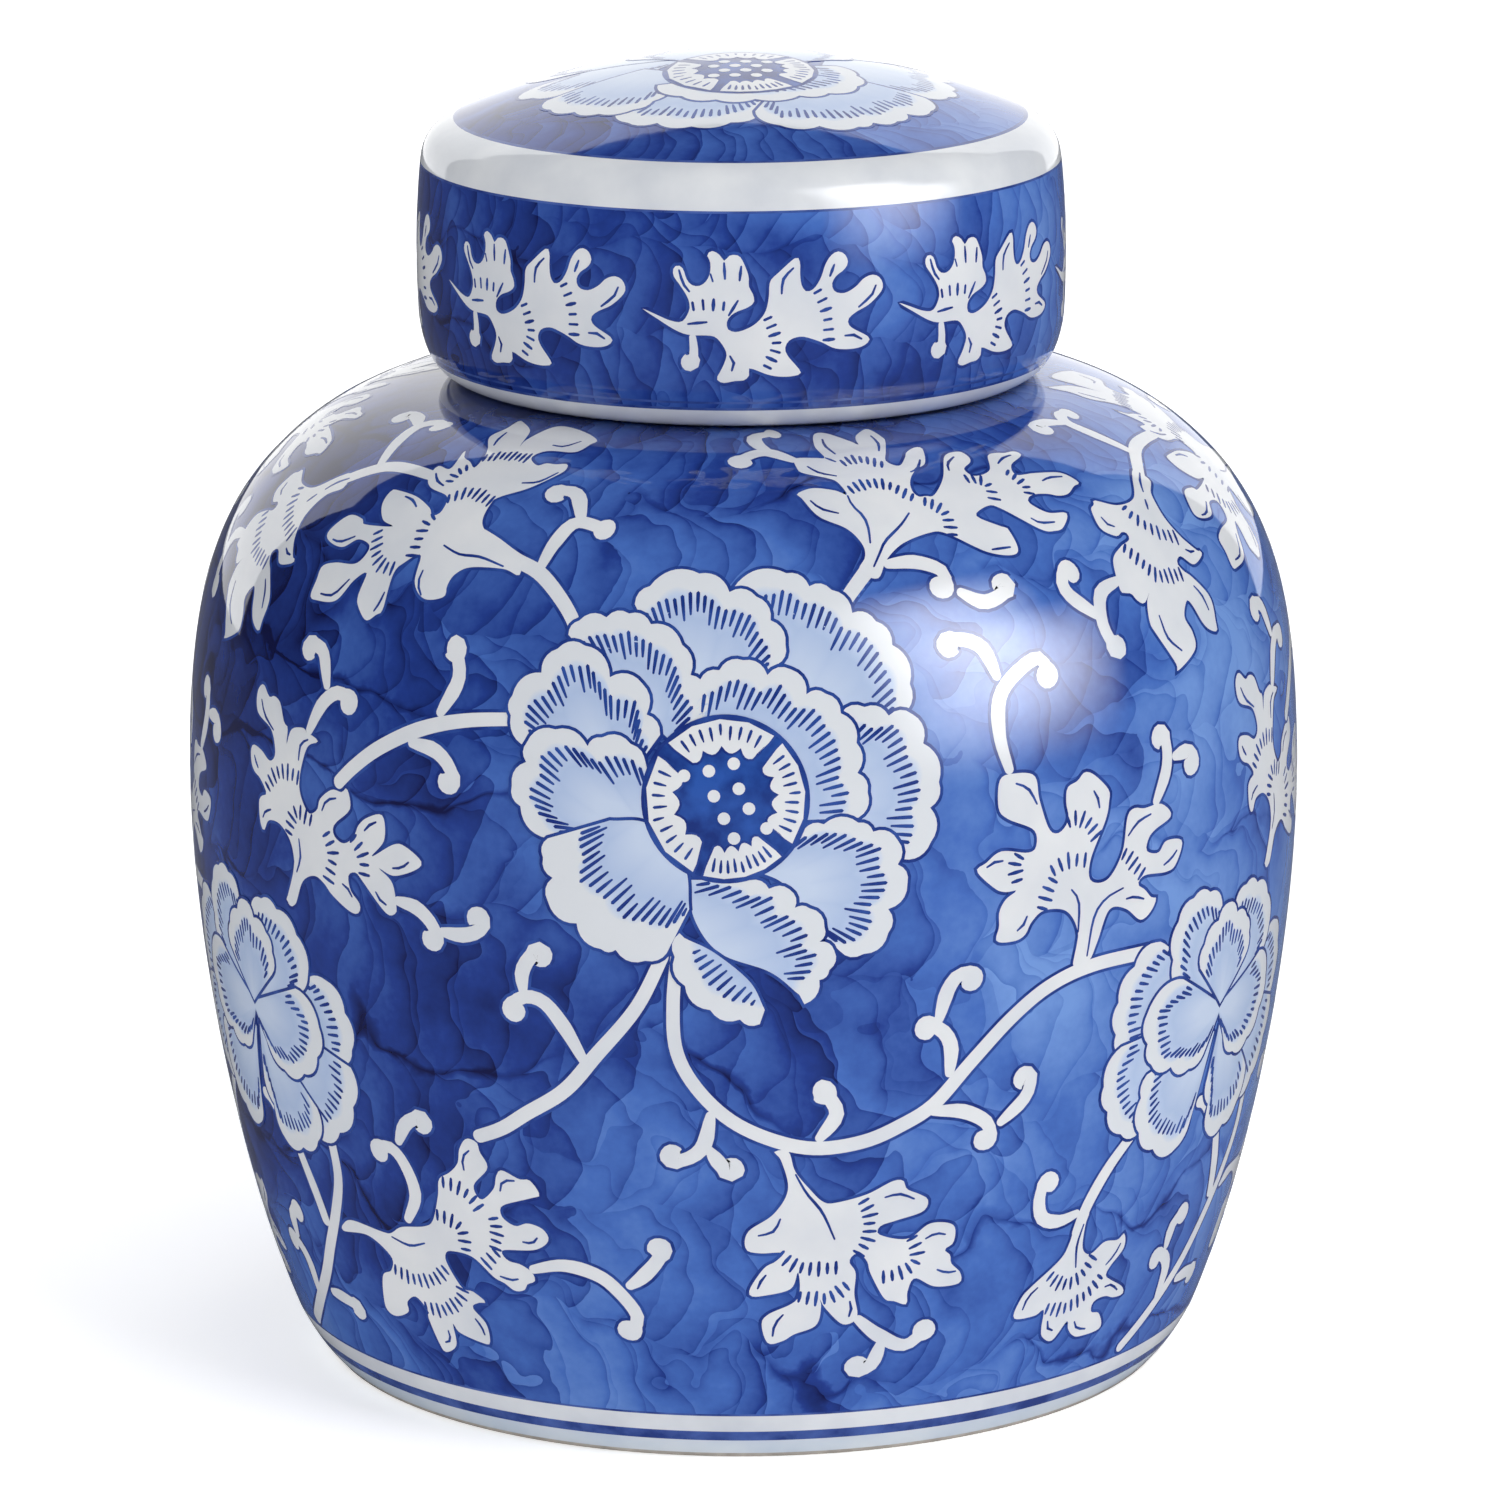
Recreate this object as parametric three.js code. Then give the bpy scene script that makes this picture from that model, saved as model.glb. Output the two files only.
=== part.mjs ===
// Ginger jar with a cap lid, in millimetres, +Z up.
// The origin is the middle of the foot, on the plane the jar stands on.

import * as THREE from 'three';

// Turning
const SEGMENTS = 48;
const SWEEP_STEPS = 9;
const INSIDE_STEPS = 6;
const ROUND_STEPS = 3;

// Jar
const BELLY_R = 118;
const BELLY_Z = 124;
const SHOULDER_R = 92.6;
const SHOULDER_Z = 198;
const FOOT_R = 90.4;
const FOOT_INNER_R = 82;
const FOOT_CURVE_R = 97.4;
const FOOT_CURVE_Z = 10;
const RECESS_Z = 4.5;
const FLOOR_Z = 11;
const WALL = 5.5;

// Neck collar, luted on the shoulder, and the seat round it that carries the lid
const SEAT_R = 61;
const SEAT_Z = 209.5;
const NECK_R = 52;
const NECK_TOP_Z = 238;
const NECK_WALL = 5.5;
const LUTED_GAP = 0.3;

// Lid, with heights counted from its own rim
const LID_GAP = 0.4;
const LID_Z = SEAT_Z + LID_GAP;
const LID_RIM_R = 59;
const LID_SIDE_R = 68.2;
const LID_SIDE_TOP = 46;
const LID_SHOULDER_R = 60;
const LID_SHOULDER_Z = 54.7;
const LID_TOP = 67.3;
const LID_WALL = 5.6;
const LID_MOUTH_R = 55.5;

// Cobalt decoration under a clear glaze, the same on both pieces.
const cobaltGlaze = () => new THREE.MeshStandardMaterial({
  color: new THREE.Color(0.07, 0.14, 0.42),
  roughness: 0.12,
  metalness: 0,
});

// The points of a chain of outlines, with each shared end kept once.
function join(...runs) {
  const points = [];
  for (const [path, steps] of runs) {
    for (const point of path.getPoints(steps)) {
      const last = points[points.length - 1];
      if (!last || last.distanceTo(point) > 1e-6) {
        points.push(point);
      }
    }
  }
  return points;
}

// A solid turned about the Z axis from an outline of (radius, height) points.
function turned(name, outline, material) {
  const geometry = new THREE.LatheGeometry(outline, SEGMENTS);
  geometry.rotateX(Math.PI / 2);
  const mesh = new THREE.Mesh(geometry, material);
  mesh.name = name;
  return mesh;
}

// Jar: recessed base and foot ring, then the wall up to the seat, the mouth and the inside.
const foot = new THREE.Path()
  .moveTo(0, RECESS_Z)
  .lineTo(FOOT_INNER_R - 4, RECESS_Z)
  .quadraticCurveTo(FOOT_INNER_R - 1, RECESS_Z, FOOT_INNER_R, 0)
  .lineTo(FOOT_R, 0)
  .lineTo(FOOT_R + 0.4, 0.4)
  .bezierCurveTo(93.2, 2.7, 95.3, 5.9, FOOT_CURVE_R, FOOT_CURVE_Z);

const outerWall = new THREE.Path()
  .moveTo(FOOT_CURVE_R, FOOT_CURVE_Z)
  .bezierCurveTo(107.7, 35.3, BELLY_R, 83.2, BELLY_R, BELLY_Z)
  .bezierCurveTo(BELLY_R, 166.7, 110.7, 184.1, SHOULDER_R, SHOULDER_Z)
  .bezierCurveTo(86.5, 202.5, 77, 207.8, SEAT_R, SEAT_Z);

const mouthR = NECK_R - NECK_WALL;
const seat = new THREE.Path()
  .moveTo(SEAT_R, SEAT_Z)
  .lineTo(mouthR + 1, SEAT_Z)
  .quadraticCurveTo(mouthR, SEAT_Z, mouthR, SEAT_Z - 1);

const inside = new THREE.Path()
  .moveTo(mouthR, SEAT_Z - 1)
  .bezierCurveTo(mouthR, 201.5, 74, 203.5, SHOULDER_R - 3.3, SHOULDER_Z - 4.4)
  .bezierCurveTo(105.5, 181, BELLY_R - WALL, 164.5, BELLY_R - WALL, BELLY_Z)
  .bezierCurveTo(BELLY_R - WALL, 86, 107, 52, 97, 26)
  .bezierCurveTo(93, 15.5, 89, FLOOR_Z, 78, FLOOR_Z)
  .lineTo(0, FLOOR_Z);

const jarOutline = join(
  [foot, ROUND_STEPS],
  [outerWall, SWEEP_STEPS],
  [seat, ROUND_STEPS],
  [inside, INSIDE_STEPS],
);

// Neck collar: an upright ring with a rounded lip and a small fillet at its foot.
const collarZ = SEAT_Z + LUTED_GAP;
const lipR = NECK_WALL / 2;
const collar = new THREE.Path()
  .moveTo(mouthR, collarZ)
  .lineTo(NECK_R + 2, collarZ)
  .quadraticCurveTo(NECK_R, collarZ, NECK_R, collarZ + 3)
  .lineTo(NECK_R, NECK_TOP_Z - lipR)
  .absarc(NECK_R - lipR, NECK_TOP_Z - lipR, lipR, 0, Math.PI, false)
  .lineTo(mouthR, collarZ);

const collarOutline = join([collar, ROUND_STEPS * 2]);

// Lid: a cap whose rim turns in and rests on the seat, open below.
const lidOuter = new THREE.Path()
  .moveTo(LID_RIM_R, LID_Z)
  .bezierCurveTo(63.5, LID_Z + 0.3, 67.2, LID_Z + 4, LID_SIDE_R - 0.1, LID_Z + 13)
  .bezierCurveTo(LID_SIDE_R + 0.5, LID_Z + 24, 68.5, LID_Z + 36, 67.4, LID_Z + LID_SIDE_TOP)
  .bezierCurveTo(66.9, LID_Z + 50.6, 64.8, LID_Z + 52.9, LID_SHOULDER_R, LID_Z + LID_SHOULDER_Z)
  .bezierCurveTo(44, LID_Z + 61.2, 22, LID_Z + LID_TOP, 0, LID_Z + LID_TOP);

const lidInner = new THREE.Path()
  .moveTo(0, LID_Z + LID_TOP - LID_WALL)
  .bezierCurveTo(20, LID_Z + LID_TOP - LID_WALL, 40, LID_Z + 56.3, 54, LID_Z + 50.6)
  .bezierCurveTo(59.5, LID_Z + 48.4, 61.6, LID_Z + 46.5, 62, LID_Z + 41)
  .bezierCurveTo(63, LID_Z + 30, 62.9, LID_Z + 19, 61.6, LID_Z + 12)
  .bezierCurveTo(60.6, LID_Z + 7, LID_MOUTH_R, LID_Z + 6, LID_MOUTH_R, LID_Z + 2)
  .quadraticCurveTo(LID_MOUTH_R, LID_Z, LID_MOUTH_R + 1.5, LID_Z)
  .lineTo(LID_RIM_R, LID_Z);

const lidOutline = join([lidOuter, INSIDE_STEPS], [lidInner, ROUND_STEPS + 1]);

const jar = new THREE.Group();
jar.add(turned('jar_body', jarOutline, cobaltGlaze()));
jar.add(turned('neck_collar', collarOutline, cobaltGlaze()));
jar.add(turned('lid', lidOutline, cobaltGlaze()));

export default jar;
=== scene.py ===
import math

import bmesh
import bpy
import numpy as np
from mathutils import Matrix, Vector


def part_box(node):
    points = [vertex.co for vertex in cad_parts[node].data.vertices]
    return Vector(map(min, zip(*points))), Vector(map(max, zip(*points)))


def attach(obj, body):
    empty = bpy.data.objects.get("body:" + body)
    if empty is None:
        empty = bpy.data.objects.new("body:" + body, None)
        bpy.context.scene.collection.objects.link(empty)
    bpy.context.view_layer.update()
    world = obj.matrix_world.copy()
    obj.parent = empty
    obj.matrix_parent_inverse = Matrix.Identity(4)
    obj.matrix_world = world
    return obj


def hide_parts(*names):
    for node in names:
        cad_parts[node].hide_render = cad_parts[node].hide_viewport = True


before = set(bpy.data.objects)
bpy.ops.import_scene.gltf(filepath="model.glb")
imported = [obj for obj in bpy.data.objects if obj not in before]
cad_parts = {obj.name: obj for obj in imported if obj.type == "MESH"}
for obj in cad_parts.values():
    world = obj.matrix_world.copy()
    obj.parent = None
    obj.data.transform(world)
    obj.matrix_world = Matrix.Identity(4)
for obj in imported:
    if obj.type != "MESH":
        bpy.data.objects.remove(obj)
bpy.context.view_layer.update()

# ---------------------------------------------------------------- The jar
# The jar is one piece of fired stoneware: foot, round wall, shoulder and the
# upright neck that the lid slides over. It is turned, painted in bands of
# cobalt, glazed clear, and wiped bare where the foot touches the table.
MM = 0.001
PROUD = 0.4  # room left under the outer size for the layers of painting, in mm
REACH = 118.0  # widest radius of the jar, in mm; its paintings are laid out on it


def outline(*runs, step=1.8):
    """Points in mm along straight runs (one point) and bends (three points), about a step apart."""
    points = [runs[0]]
    for run in runs[1:]:
        knots = [points[-1], *run] if isinstance(run[0], tuple) else [points[-1], run]
        count = max(4 if len(knots) > 2 else 1, math.ceil(math.dist(knots[0], knots[-1]) / step))
        for i in range(1, count + 1):
            level = [Vector(k) for k in knots]
            while len(level) > 1:
                level = [a.lerp(b, i / count) for a, b in zip(level, level[1:])]
            points.append(tuple(level[0]))
    return points


def ringed(points, heights):
    """The same outline with an extra point at each of these heights."""
    out = [points[0]]
    for a, b in zip(points, points[1:]):
        cuts = sorted((h - a[1]) / (b[1] - a[1]) for h in heights if (h - a[1]) * (h - b[1]) < 0)
        out += [tuple(Vector(a).lerp(Vector(b), t)) for t in cuts] + [b]
    return out


def turned(points, turns):
    """A closed shell turned round the upright axis from an outline of (radius, height) in mm."""
    bm = bmesh.new()
    verts = [bm.verts.new((r * MM, 0, z * MM)) for r, z in points]
    edges = [bm.edges.new(pair) for pair in zip(verts, verts[1:])]
    bmesh.ops.spin(
        bm, geom=verts + edges, cent=(0, 0, 0), axis=(0, 0, 1), angle=math.tau, steps=turns, use_merge=True
    )
    bmesh.ops.remove_doubles(bm, verts=bm.verts, dist=1e-7)
    bmesh.ops.recalc_face_normals(bm, faces=bm.faces)
    for face in bm.faces:
        face.smooth = True
    return bm


def made(name, bm, materials, body, stands_for=()):
    """Makes the finished piece from a bmesh and says what it rides on."""
    mesh = bpy.data.meshes.new(name)
    bm.to_mesh(mesh)
    bm.free()
    for material in materials:
        mesh.materials.append(material)
    piece = bpy.data.objects.new(name, mesh)
    bpy.context.scene.collection.objects.link(piece)
    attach(piece, body)
    if stands_for:
        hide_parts(*stands_for)
    return piece


def srgb(r, g, b):
    """A colour given in 0-255 numbers, as a shader wants it."""

    def linear(c):
        return c / 255 / 12.92 if c <= 10 else ((c / 255 + 0.055) / 1.055) ** 2.4

    return (linear(r), linear(g), linear(b), 1)


def shades(*pairs):
    """Ramp stops from positions and 0-255 colours."""
    return [(position, srgb(*colour)) for position, colour in pairs]


def join(tree, value, socket):
    """Links an output, or sets a plain value, on a shader socket."""
    if isinstance(value, bpy.types.NodeSocket):
        tree.links.new(value, socket)
    elif value is not None:
        socket.default_value = value


def calc(tree, operation, *values):
    """A Math node on outputs and plain numbers."""
    maths = tree.nodes.new("ShaderNodeMath")
    maths.operation = operation
    for value, socket in zip(values, maths.inputs):
        join(tree, value, socket)
    return maths.outputs[0]


def added(tree, *values):
    """The sum of several outputs and plain numbers."""
    result = values[0]
    for value in values[1:]:
        result = calc(tree, "ADD", result, value)
    return result


def noise(tree, scale, detail=2.0, vector=None):
    """Soft noise over the piece; the scale is in waves a metre."""
    texture = tree.nodes.new("ShaderNodeTexNoise")
    texture.inputs["Scale"].default_value = scale
    texture.inputs["Detail"].default_value = detail
    if vector is None:
        vector = tree.nodes.new("ShaderNodeTexCoord").outputs["Object"]
    tree.links.new(vector, texture.inputs["Vector"])
    return texture.outputs["Fac"]


def spread(tree, value, low, high, out_low=0.0, out_high=1.0):
    """A Map Range node."""
    ranged = tree.nodes.new("ShaderNodeMapRange")
    for number, socket in zip((value, low, high, out_low, out_high), ranged.inputs):
        join(tree, number, socket)
    return ranged.outputs[0]


def tones(tree, value, *stops):
    """A colour ramp through (position, colour) stops."""
    ramp = tree.nodes.new("ShaderNodeValToRGB")
    elements = ramp.color_ramp.elements
    while len(elements) < len(stops):
        elements.new(0.5)
    for element, (position, colour) in zip(elements, stops):
        element.position, element.color = position, colour
    join(tree, value, ramp.inputs["Fac"])
    return ramp.outputs["Color"]


# the skin of the glaze: a slight unevenness that runs on under every colour
skin = bpy.data.node_groups.new("glaze_skin", "ShaderNodeTree")
for label in ("Height", "Roughness"):
    skin.interface.new_socket(label, in_out="OUTPUT", socket_type="NodeSocketFloat")
skin_out = skin.nodes.new("NodeGroupOutput")
broad = noise(skin, 24, 1.5)
join(skin, calc(skin, "MULTIPLY_ADD", noise(skin, 380, 2), 0.03, broad), skin_out.inputs["Height"])
join(skin, spread(skin, broad, 0.3, 0.7, 0.035, 0.07), skin_out.inputs["Roughness"])


def glazed(name):
    """A glazed material: its tree and its Principled shader's colour socket."""
    material = bpy.data.materials.new(name)
    material.use_nodes = True
    tree = material.node_tree
    shader = tree.nodes["Principled BSDF"]
    shader.inputs["IOR"].default_value = 1.52
    feel = tree.nodes.new("ShaderNodeGroup")
    feel.node_tree = skin
    lift = tree.nodes.new("ShaderNodeBump")
    lift.inputs["Strength"].default_value = 0.3
    lift.inputs["Distance"].default_value = 0.0006
    tree.links.new(feel.outputs["Height"], lift.inputs["Height"])
    tree.links.new(lift.outputs["Normal"], shader.inputs["Normal"])
    tree.links.new(feel.outputs["Roughness"], shader.inputs["Roughness"])
    return material, tree, shader.inputs["Base Color"]


def mottled(name, dark, light, scale=60.0):
    """Glaze over one colour that pools a little lighter and darker."""
    material, tree, colour = glazed(name)
    join(tree, tones(tree, noise(tree, scale, 5), *shades((0.35, dark), (0.65, light))), colour)
    return material


# cobalt wash: brushed on in rows of short curved dabs that leave a dark tide line
# at their edges, with ragged darker seams where one row meets the next
brushwork = bpy.data.node_groups.new("brushed_cobalt", "ShaderNodeTree")
for label, size in (("Dabs round", 96.0), ("Row height", 0.019)):
    brushwork.interface.new_socket(label, in_out="INPUT", socket_type="NodeSocketFloat").default_value = size
brushwork.interface.new_socket("Color", in_out="OUTPUT", socket_type="NodeSocketColor")
b = brushwork
given, shown = b.nodes.new("NodeGroupInput"), b.nodes.new("NodeGroupOutput")
split = b.nodes.new("ShaderNodeSeparateXYZ")
join(b, b.nodes.new("ShaderNodeTexCoord").outputs["Object"], split.inputs[0])
x, y, z = split.outputs
radius = calc(b, "SQRT", calc(b, "ADD", calc(b, "MULTIPLY", x, x), calc(b, "MULTIPLY", y, y)))
angle = calc(b, "DIVIDE", calc(b, "ARCTAN2", x, calc(b, "MULTIPLY", y, -1.0)), math.tau)
slow, quick, grit = noise(b, 11, 2), noise(b, 42, 2), noise(b, 160, 3)
ROW_LEAN = 0.7  # how much the rows of dabs follow the radius as well as the height
BOW, CREST = 3.6, 0.45  # how far a dab bends, and where in its row it turns back
TIDE = 9.0  # how closely the dark tide line keeps to the edge of its dab
climb = calc(b, "SUBTRACT", z, calc(b, "MULTIPLY", radius, ROW_LEAN))


def dabs(round_count, height, drift):
    """One coat of dabs: its tide lines, the pull of each dab, each dab's own strength, and its seams."""
    wander = calc(b, "MULTIPLY", slow, 2.6)
    row = added(b, calc(b, "DIVIDE", climb, height), wander, calc(b, "MULTIPLY", quick, drift))
    row_name, in_row = calc(b, "FLOOR", row), calc(b, "FRACT", row)
    luck = b.nodes.new("ShaderNodeTexWhiteNoise")
    luck.noise_dimensions = "1D"
    join(b, row_name, luck.inputs["W"])
    dab = added(
        b,
        calc(b, "MULTIPLY", angle, round_count),
        calc(b, "MULTIPLY", luck.outputs["Value"], 7.0),
        calc(b, "MULTIPLY", calc(b, "POWER", calc(b, "SUBTRACT", in_row, CREST), 2.0), BOW),
        calc(b, "MULTIPLY", quick, 1.7),
        calc(b, "MULTIPLY", grit, 0.16),
    )
    in_dab = calc(b, "FRACT", dab)
    dab_name = calc(b, "ADD", calc(b, "FLOOR", dab), calc(b, "MULTIPLY", round_count, 4.0))
    pair = b.nodes.new("ShaderNodeCombineXYZ")
    join(b, calc(b, "MODULO", dab_name, round_count), pair.inputs[0])
    join(b, row_name, pair.inputs[1])
    fate = b.nodes.new("ShaderNodeTexWhiteNoise")
    fate.noise_dimensions = "2D"
    join(b, pair.outputs[0], fate.inputs["Vector"])
    to_seam = calc(b, "MINIMUM", in_row, calc(b, "SUBTRACT", 1.0, in_row))
    seam = spread(b, to_seam, spread(b, grit, 0.42, 0.7, 0.03, 0.12), 0.0)
    return calc(b, "POWER", in_dab, TIDE), in_dab, fate.outputs["Value"], seam


first = dabs(given.outputs[0], given.outputs[1], 0.9)
# the second coat has fewer dabs round and taller rows
second = dabs(calc(b, "SUBTRACT", given.outputs[0], 21.0), 0.041, 1.7)
# painted shade: the wash is darker on the left of the front, a little towards the front and towards the
# shoulder, where less light falls and less is mirrored in the glaze
painted_shade = added(b, calc(b, "MULTIPLY", x, -0.8), calc(b, "MULTIPLY", z, 0.25), calc(b, "MULTIPLY", y, -0.15))
tone = spread(b, painted_shade, -0.06, 0.13, -0.11, 0.43)
for coat, (line, pull, strength) in ((first, (0.13, 0.08, 0.14)), (second, (0.09, 0.10, 0.17))):
    weighed = [calc(b, "MULTIPLY", mark, weight) for mark, weight in zip(coat, (line, pull, strength))]
    tone = added(b, tone, *weighed)
seams = calc(b, "MULTIPLY", first[3], spread(b, noise(b, 17, 2), 0.5, 0.62))
tone = added(
    b,
    tone,
    spread(b, noise(b, 15, 2), 0.32, 0.68, -0.17, 0.23),
    spread(b, quick, 0.3, 0.7, -0.08, 0.10),
    spread(b, noise(b, 500, 3), 0.3, 0.7, -0.03, 0.03),
    calc(b, "MULTIPLY", seams, 0.34),
)
COBALT = shades((0.0, (110, 146, 207)), (0.36, (68, 105, 180)), (0.66, (33, 58, 134)), (1.0, (9, 15, 64)))
join(b, tones(b, tone, *COBALT), shown.inputs[0])


def cobalt(name, dabs_round, row_height):
    """A glazed material painted with the brushed cobalt."""
    material, tree, colour = glazed(name)
    wash = tree.nodes.new("ShaderNodeGroup")
    wash.node_tree = brushwork
    wash.inputs[0].default_value, wash.inputs[1].default_value = dabs_round, row_height
    join(tree, wash.outputs[0], colour)
    return material


jar_wash = cobalt("jar_cobalt_wash", 66.0, 0.027)
white_glaze = mottled("white_glaze", (204, 207, 212), (219, 221, 223))
foot_glaze = mottled("foot_glaze", (190, 200, 212), (206, 212, 218))
navy_line = mottled("navy_line", (36, 56, 122), (72, 96, 162), 140)
bare_clay = mottled("bare_clay", (158, 152, 145), (182, 176, 168), 220)

EDGE_Z, WHITE_Z, LINE_TOP, LINE_LOW, CLAY_Z = 11.6, 11.1, 7.1, 4.7, 1.0
BANDS = (EDGE_Z, WHITE_Z, LINE_TOP, LINE_LOW, CLAY_Z)
BAND_COLOURS = (0, 2, 1, 2, 3, 4)  # from the wash down: navy, white, navy, foot glaze, bare clay
WALL_R = 89  # the painted wall lies outside this radius
SHOULDER_Z, SEAT_R = 190, 56  # above and outside these it goes on over the shoulder
WALL = outline(
    (90.8, 0.4),
    ((93.2, 2.7), (95.3, 5.9), (97.4, 10)),
    ((107.7, 35.3), (118, 83.2), (118, 124)),
    ((118, 166.7), (110.7, 184.1), (92.6, 198)),
    ((86.5, 202.5), (77, 207.8), (61, 209.5)),
)
snug = (REACH - PROUD) / REACH
WALL = [(r * snug, z) for r, z in WALL]
wall = ringed(WALL, BANDS)
underside = outline((0, 4.5), (78, 4.5), ((80, 4.5), (81.7, 3), (82, 0)), (90.2, 0), wall[0], step=20)
neck = outline(
    wall[-1], (54.3, 209.6), ((53, 209.7), (52, 210.7), (52, 212)), (52, 235.25),
    ((52, 236.8), (50.8, 238), (49.25, 238)), ((47.7, 238), (46.5, 236.8), (46.5, 235.25)), (46.5, 208.5),
    step=6,
)
inside = outline(
    neck[-1],
    ((46.5, 201.5), (74, 203.5), (89.3, 193.6)),
    ((105.5, 181), (112.2, 164.5), (112.2, 124)),
    ((112.2, 86), (107, 52), (97, 26)),
    ((93, 15.5), (89, 11), (78, 11)),
    (0, 11),
    step=7,
)
bm = turned(underside + wall[1:] + neck[1:] + inside[1:], 360)
jar_colours = [jar_wash, white_glaze, navy_line, foot_glaze, bare_clay]
for face in bm.faces:
    at, way = face.calc_center_median() / MM, face.normal
    reach = math.hypot(at.x, at.y)
    outward = way.x * at.x + way.y * at.y > 0
    on_shoulder = at.z > SHOULDER_Z and reach > SEAT_R and way.z > 0
    if outward and reach > WALL_R or on_shoulder:
        face.material_index = BAND_COLOURS[sum(at.z < edge for edge in BANDS)]
    else:
        face.material_index = 4 if at.z < CLAY_Z else 1
made("jar_ground", bm, jar_colours, "jar", ("jar_body", "neck_collar"))

# ---------------------------------------------------------------- Painting on the jar: vines and curls
# Everything white is bare body left between the washes, edged with a fine navy
# pencil line. Here it is laid on as thin layers that lie in the glaze, back to
# front; this first layer is the vine that winds round the jar and its curls.
STEP = 0.010  # one layer of paint, in mm
PENCIL = 0.68  # width of the navy line round each shape, in mm
ROUND_JAR = 3  # times that the painting comes round the jar
BED = -2  # the layer that the underside of every painting lies on
UV_DEPTH = 20  # distance from the rim, in mm, that one unit of a petal's UV map stands for
WHITE, NAVY, PALE, DEEP = 0, 1, 2, 3


class Ground:
    """A glazed surface to paint on: turns (across, up) in mm into places and outward directions."""

    def __init__(self, points, reach, z0=0.0, flat=False):
        r, z = np.array(points, float).T
        self.reach, self.flat = reach, flat
        self.run = np.r_[0, np.cumsum(np.hypot(np.diff(r), np.diff(z)))]
        self.r, self.z = r, z + z0
        tr, tz = np.gradient(r, self.run), np.gradient(z, self.run)
        self.nr, self.nz = tz, -tr

    def squeeze(self, up):
        """How much narrower than laid out a shape comes out at this height."""
        if self.flat:
            return np.ones_like(np.asarray(up, float))
        return np.interp(up, self.run, self.r) / self.reach

    def place(self, across, up, lift):
        if self.flat:  # (across, up) are plan distances from the axis
            far = np.hypot(across, up)
            sines = np.where(far > 0, across / np.maximum(far, 1e-9), 0)
            cosines = np.where(far > 0, -up / np.maximum(far, 1e-9), 1)
            order = np.argsort(self.r)
            nr, nz, z = (np.interp(far, self.r[order], q[order]) for q in (self.nr, self.nz, self.z))
            r = far
        else:
            turn = across / self.reach
            sines, cosines = np.sin(turn), np.cos(turn)
            r, z, nr, nz = (np.interp(up, self.run, q) for q in (self.r, self.z, self.nr, self.nz))
        length = np.hypot(nr, nz)
        nr, nz = nr / length, nz / length
        far, high = r + nr * lift, z + nz * lift
        return (
            np.c_[far * sines, -far * cosines, high] * MM,
            np.c_[nr * sines, -nr * cosines, nz],
        )


jar_side = Ground(WALL, REACH)


def evenly(line, step=None, count=None):
    """The line again, with points a step apart, or a count of them."""
    run = np.r_[0, np.cumsum(np.hypot(*np.diff(line, axis=0).T))]
    at = np.linspace(0, run[-1], count or max(3, math.ceil(run[-1] / step) + 1))
    return np.c_[np.interp(at, run, line[:, 0]), np.interp(at, run, line[:, 1])]


def bend(points, step=0.5, closed=False):
    """A smooth hand-drawn line through the points, round to the start again if closed."""
    p = np.array(points, float)
    if len(p) < 3:
        return evenly(p, step)
    p = np.vstack([p[-1], p, p[:2]]) if closed else np.vstack([2 * p[0] - p[1], p, 2 * p[-1] - p[-2]])
    t = np.linspace(0, 1, 16, endpoint=False)[:, None]
    runs = [
        0.5 * (2 * b + (c - a) * t + (2 * a - 5 * b + 4 * c - d) * t**2 + (3 * b - a - 3 * c + d) * t**3)
        for a, b, c, d in zip(p, p[1:], p[2:], p[3:])
    ]
    return evenly(np.vstack(runs + [p[-2:-1]]), step)


def patch(bm, columns, rows, shape, layer, colour):
    """A patch of paint; shape turns (along, across) in 0-1 into mm, and gives the distance from the rim."""
    verts = bmesh.ops.create_grid(bm, x_segments=columns, y_segments=rows, size=1)["verts"]
    uv = bm.loops.layers.uv.verify()
    at = np.array([v.co[:2] for v in verts]) / 2 + 0.5
    places, inward = shape(at[:, 0], at[:, 1])
    faces = list({face for v in verts for face in v.link_faces})
    depth = dict(zip(verts, inward))
    for v, (a, s) in zip(verts, places):
        v.co = (a, s, layer)
    for face in faces:
        face.material_index = colour
        for loop in face.loops:
            loop[uv].uv = (0.5, depth[loop.vert] / UV_DEPTH)
    bmesh.ops.remove_doubles(bm, verts=verts, dist=0.02)
    faces = [face for face in faces if face.is_valid]
    for face in faces:
        face.normal_update()
    if sum(face.normal.z * face.calc_area() for face in faces) < 0:
        bmesh.ops.reverse_faces(bm, faces=faces)
    return faces


def pencilled(bm, ground, faces, layer, width=PENCIL):
    """The navy line: a copy of these faces on a lower layer, grown on all sides."""
    copy = bmesh.ops.duplicate(bm, geom=faces)["geom"]
    copied = [g for g in copy if isinstance(g, bmesh.types.BMFace)]
    push = {}
    for edge in (g for g in copy if isinstance(g, bmesh.types.BMEdge)):
        if len(edge.link_faces) != 1:
            continue
        loop = edge.link_loops[0]
        a, b = loop.vert, loop.link_loop_next.vert
        k = float(ground.squeeze((a.co.y + b.co.y) / 2))
        along = Vector(((b.co.x - a.co.x) * k, b.co.y - a.co.y)).normalized()
        for v in (a, b):
            push.setdefault(v, []).append(Vector((along.y, -along.x)))
    for v, ways in push.items():
        total = ways[0] + ways[-1]
        total *= width / max(1 + ways[0].dot(ways[-1]), 0.45)
        v.co.x += total.x / float(ground.squeeze(v.co.y))
        v.co.y += total.y
    for face in copied:
        face.material_index = NAVY
    for v in {v for face in copied for v in face.verts}:
        v.co.z = layer
    return copied


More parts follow.
